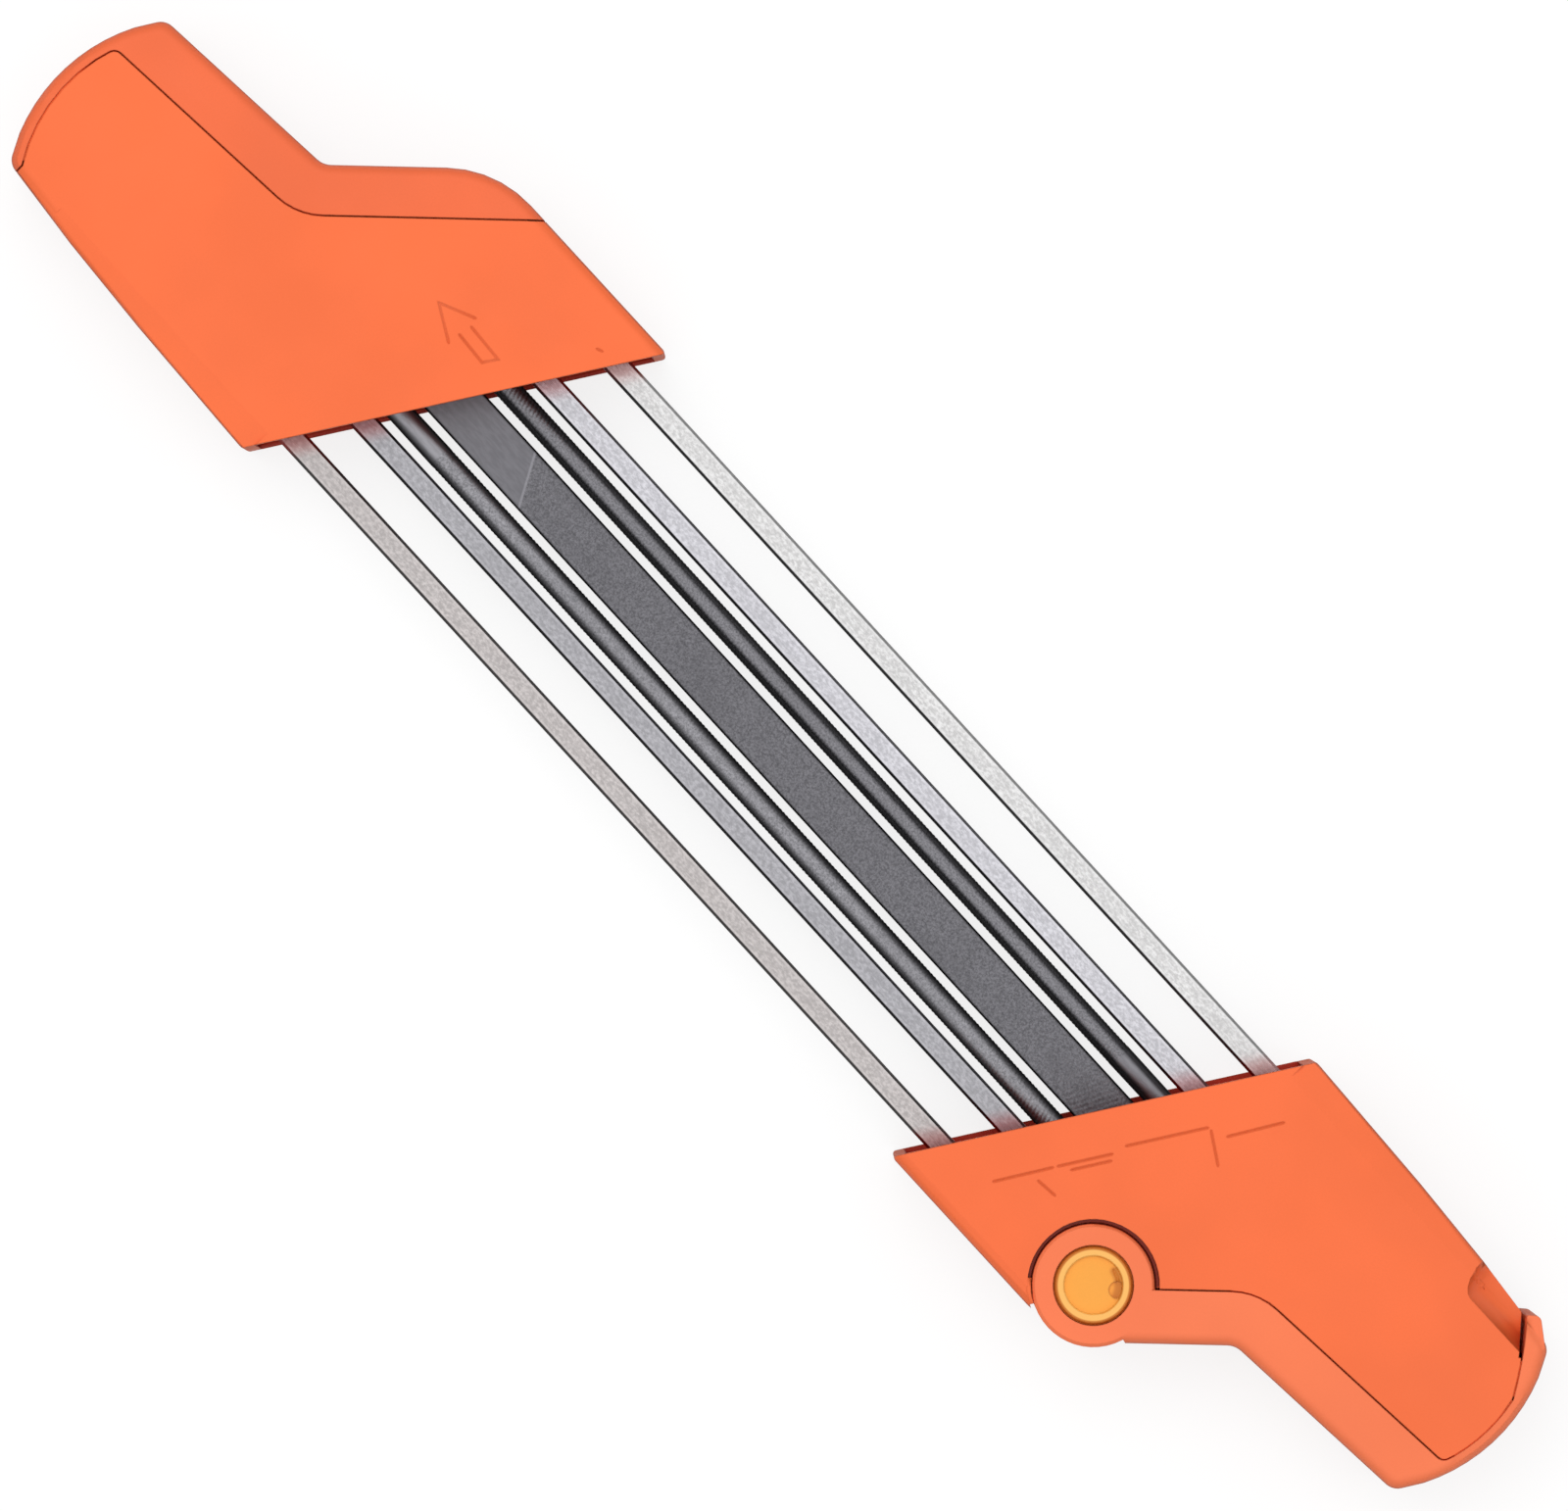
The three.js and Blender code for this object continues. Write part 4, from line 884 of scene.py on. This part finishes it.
def handle(settings, end, strip, marks, fills, stains_and_painted_light):
    """Makes one handle's body, with marks cut into it, ribs and fills added, and painted shade in its mouth.
    """
    node, name = end + "_handle_body", end + "_grip_shell"
    side = -1 if end == "front" else 1
    slope = math.tan(settings.mouth_angle)
    ribs = seam_ribs(merged(node, name), strip, settings.rib_drop, settings.end_drop)
    channels = grooves(marks, settings.line, settings.line_depth, TOP)
    body = merged(node, name, channels, ribs + fills)
    stains_and_painted_light = [
        # Painted shade in the mouth.
        (lambda finish: mouth_shade(finish, settings.mouth_place, slope, side), settings.shade_colour),
        *stains_and_painted_light,
        # Painted shade in the moulded lines.
        (lambda finish: groove_shade(finish, marks, settings.line, TOP), dim(settings.orange, 0.72)),
    ]
    moulding(settings, name, body, "guide", settings.orange, stains_and_painted_light, node)


class FILEGUIDE_OT_mouldings(bpy.types.Operator):
    """Makes both handles, the cover and the flap in grained orange plastic"""
    bl_idname = "fileguide.mouldings"
    bl_label = "Handles and Flap"

    def execute(self, context):
        settings = context.scene.file_guide.mouldings
        pin = pin_place()
        # Painted shade in the gap round the knuckle.
        gap_shade = [(lambda finish: knuckle_gap_shade(finish, pin), dim(settings.shade_colour, 0.4))]
        cover = merged("front_handle_cover", "front_grip_strip")
        flap = merged("closing_flap", "hinged_strip")
        handle(settings, "front", cover, arrow_marks(), [], [])
        moulding(settings, "front_grip_strip", cover, "guide", settings.cover, [], "front_handle_cover")
        handle(settings, "rear", flap, scale_marks(), gap_fills(pin), gap_shade)
        moulding(settings, "hinged_strip", flap, "flap", settings.flap, gap_shade, "closing_flap")
        return {"FINISHED"}


class FILEGUIDE_OT_pin(bpy.types.Operator):
    """Makes the hinge pin and its cap in yellow plastic"""
    bl_idname = "fileguide.pin"
    bl_label = "Hinge Pin"

    def execute(self, context):
        settings = context.scene.file_guide.pin
        pin = pin_place()
        grain, dish_depth = 0.4 * MM, 0.8 * MM
        notch_width, notch_depth, notch_shade_width = MM, 0.35 * MM, 2.2 * MM
        rim, edge_shade_ring = (TOP - 0.75 * MM, TOP - 0.45 * MM), (6.75 * MM, 9 * MM, 0.3 * MM)
        gap = {"reach": (7 * MM, 7.42 * MM), "sunk": (MM, 3.1 * MM)}
        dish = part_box("hinge_pin")[1][2] - dish_depth
        notch = notch_marks(pin)
        stains_and_painted_light = (
            # Painted highlight on the raised rim.
            (lambda finish: finish.level(*rim, 0.0, 0.8), settings.rim),
            # Painted shade round the edge of the pin's head.
            (lambda finish: finish.ring(pin, *edge_shade_ring), settings.edge_tone),
            # Painted shade in the notch.
            (lambda finish: groove_shade(finish, notch, notch_shade_width, dish), dim(settings.edge_tone, 0.9)),
        )
        # The rim colour as edge tone: a painted highlight along rounded edges.
        material = plastic("yellow_plastic", settings.yellow, settings.edge, grain, settings.rim, stains_and_painted_light)
        upper, lower = zip(*[ring_parts(pin, turns, **gap) for turns in ((0.1, 179.9), (180.1, 359.9))])
        head = merged("hinge_pin", "pin_body", grooves(notch, notch_width, notch_depth, dish), upper)
        cap = merged("hinge_pin_cap", "pin_button", added=lower)
        add("pin_body", head, material, "guide", "yellow_plastic", "hinge_pin")
        add("pin_button", cap, material, "guide", "yellow_plastic", "hinge_pin_cap")
        return {"FINISHED"}


class FILEGUIDE_OT_round_files(bpy.types.Operator):
    """Makes the two round files with spiral teeth and smooth heels"""
    bl_idname = "fileguide.round_files"
    bl_label = "Round Files"

    def execute(self, context):
        settings = context.scene.file_guide.files
        for side, base, at_start in (("left", settings.left, True), ("right", settings.right, False)):
            node, name = "round_file_" + side, side + "_toothed_rod"
            low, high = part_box(node)
            heel = (low[0], low[0] + settings.heel) if at_start else (high[0] - settings.heel, high[0])
            material = cut_steel(side + "_rod_steel", base, heel, width_of(node), blunt=0.42, border=0.2)
            add(name, round_file(name, node, settings, at_start), material, "guide", "file_steel", node)
        return {"FINISHED"}


class FILEGUIDE_OT_flat_file(bpy.types.Operator):
    """Makes the flat file with crossed cuts"""
    bl_idname = "fileguide.flat_file"
    bl_label = "Flat File"

    def execute(self, context):
        settings = context.scene.file_guide.files
        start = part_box("flat_file")[0][0]
        material = cut_steel("flat_bar_steel", settings.flat, (start, start + settings.flat_heel),
                             width_of("flat_file"), blunt=0.46, border=0.86, slant=settings.flat_slant)
        mesh = flat_file("cross_cut_bar", "flat_file", settings)
        add("cross_cut_bar", mesh, material, "guide", "file_steel", "flat_file")
        return {"FINISHED"}


class FILEGUIDE_OT_rails(bpy.types.Operator):
    """Gives the rails, their dowels and the stop pad their finishes"""
    bl_idname = "fileguide.rails"
    bl_label = "Rails, Dowels and Pad"

    def execute(self, context):
        settings = context.scene.file_guide.rails
        mouldings = context.scene.file_guide.mouldings
        # The dark red of the painted reflection near the mouths comes from the mouths' shade colour.
        mouth = (mouldings.mouth_place, math.tan(mouldings.mouth_angle), dim(mouldings.shade_colour, 1.4))
        dowel = steel("dowel_steel", settings.dowel)
        for side in ("outer_left", "inner_left", "inner_right", "outer_right"):
            rail = "rail_" + side
            paint(rail, steel(side + "_bar_steel", getattr(settings, side), width_of(rail), mouth))
            for end in ("front", "rear"):
                paint(f"rail_pin_{end}_{side}", dowel)
        paint("file_stop_pad", rubber("stop_pad_rubber", settings.pad))
        return {"FINISHED"}


def paint(node, material):
    """Gives a CAD node a new material and leaves its shape alone."""
    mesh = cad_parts[node].data
    mesh.materials.clear()
    mesh.materials.append(material)


class FILEGUIDE_OT_stage(bpy.types.Operator):
    """Makes the pale floor, the soft light and the camera"""
    bl_idname = "fileguide.stage"
    bl_label = "Floor, Light and Camera"

    def execute(self, context):
        settings = context.scene.file_guide.stage
        self.floor(settings)
        self.sky(context.scene, settings)
        self.lamp(context.scene, settings)
        self.camera(context.scene, settings)
        context.scene.view_settings.view_transform = "Standard"
        return {"FINISHED"}

    @staticmethod
    def floor(settings):
        """A wide flat sheet that is white to the camera and still takes a soft shadow."""
        reach, level, cloud = 10.0, -0.2 * MM, 0.4
        mesh = bpy.data.meshes.new("floor")
        corners = [(x * reach, y * reach, level) for x, y in ((-1, -1), (1, -1), (1, 1), (-1, 1))]
        mesh.from_pydata(corners, [], [(0, 1, 2, 3)])
        finish = Finish("floor_paint")
        tone = finish.stain(opaque(dim(settings.floor, 0.99)), finish.noise(cloud), settings.floor)
        seen = finish.node("ShaderNodeLightPath").outputs
        through = finish.maths("MAXIMUM", seen["Is Glossy Ray"], seen["Is Transmission Ray"])
        direct = finish.maths("MAXIMUM", seen["Is Camera Ray"], through)
        faint = settings.shadow
        tone = finish.blend(direct, tone, (faint, faint, faint, 1))
        glow = finish.maths("MULTIPLY", direct, 1 - faint * 0.9)
        finish.set(Base_Color=tone, Roughness=1.0, Specular_IOR_Level=0.0, Emission_Color=(1, 1, 1, 1),
                   Emission_Strength=glow)
        mesh.materials.append(finish.material)
        piece = bpy.data.objects.new("floor", mesh)
        bpy.context.scene.collection.objects.link(piece)

    @staticmethod
    def sky(scene, settings):
        """Even light, strongest overhead and weaker towards the horizon. The camera sees plain white."""
        world = bpy.data.worlds.new("studio")
        scene.world = world
        world.use_nodes = True
        nodes, links = world.node_tree.nodes, world.node_tree.links
        nodes.clear()
        direction = nodes.new("ShaderNodeTexCoord")
        split = nodes.new("ShaderNodeSeparateXYZ")
        rise = nodes.new("ShaderNodeMapRange")
        rise.interpolation_type = "SMOOTHSTEP"
        low, high = 0.05, 0.75
        for place, value in enumerate((low, high, settings.horizon, settings.overhead), start=1):
            rise.inputs[place].default_value = value
        seen = nodes.new("ShaderNodeLightPath")
        strength = nodes.new("ShaderNodeMix")
        strength.inputs[3].default_value = 1.0
        back = nodes.new("ShaderNodeBackground")
        end = nodes.new("ShaderNodeOutputWorld")
        links.new(direction.outputs["Generated"], split.inputs[0])
        links.new(split.outputs["Z"], rise.inputs[0])
        links.new(seen.outputs["Is Camera Ray"], strength.inputs[0])
        links.new(rise.outputs[0], strength.inputs[2])
        links.new(strength.outputs[0], back.inputs["Strength"])
        links.new(back.outputs[0], end.inputs["Surface"])

    @staticmethod
    def lamp(scene, settings):
        """One large soft lamp overhead, a little to the upper left as the camera sees it."""
        data = bpy.data.lights.new("soft_lamp", "AREA")
        data.shape = "DISK"
        data.size = 0.9
        data.energy = settings.lamp
        lamp = bpy.data.objects.new("soft_lamp", data)
        lamp.location = (-0.45, 0.1, 1.3)
        lamp.rotation_euler = (math.radians(-4), math.radians(-19), 0)
        lamp.visible_glossy = False
        scene.collection.objects.link(lamp)

    @staticmethod
    def camera(scene, settings):
        """A long lens that looks straight down, turned so that the guide runs down from the upper left."""
        data = bpy.data.cameras.new("camera")
        data.lens = settings.lens
        data.sensor_fit = "HORIZONTAL"
        data.sensor_width = 36
        data.clip_start = 0.05
        data.clip_end = 60
        camera = bpy.data.objects.new("camera", data)
        camera.location = (0.65 * MM, 0.63 * MM, settings.distance)
        camera.rotation_euler = (0, 0, settings.turn)
        scene.collection.objects.link(camera)
        scene.camera = camera


OPERATORS = (FILEGUIDE_OT_mouldings, FILEGUIDE_OT_pin, FILEGUIDE_OT_round_files, FILEGUIDE_OT_flat_file,
             FILEGUIDE_OT_rails, FILEGUIDE_OT_stage)


class FILEGUIDE_PT_panel(bpy.types.Panel):
    """Lists the steps that finish the guide, and the values that they use"""
    bl_idname = "FILEGUIDE_PT_panel"
    bl_label = "File Guide"
    bl_space_type = "VIEW_3D"
    bl_region_type = "UI"
    bl_category = "File Guide"

    def draw(self, context):
        for operator in OPERATORS:
            self.layout.operator(operator.bl_idname)
        settings = context.scene.file_guide
        for group in (settings.mouldings, settings.pin, settings.files, settings.rails, settings.stage):
            box = self.layout.box()
            for name in group.__annotations__:
                box.prop(group, name)


CLASSES = (MouldingSettings, PinSettings, FileSettings, RailSettings, StageSettings, GuideSettings,
           *OPERATORS, FILEGUIDE_PT_panel)


def register():
    for kind in CLASSES:
        bpy.utils.register_class(kind)
    bpy.types.Scene.file_guide = PointerProperty(type=GuideSettings)


def unregister():
    del bpy.types.Scene.file_guide
    for kind in reversed(CLASSES):
        bpy.utils.unregister_class(kind)


def main():
    """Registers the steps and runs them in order."""
    register()
    bpy.ops.fileguide.stage()
    bpy.ops.fileguide.mouldings()
    bpy.ops.fileguide.pin()
    bpy.ops.fileguide.round_files()
    bpy.ops.fileguide.flat_file()
    bpy.ops.fileguide.rails()


if __name__ == "__main__":
    main()
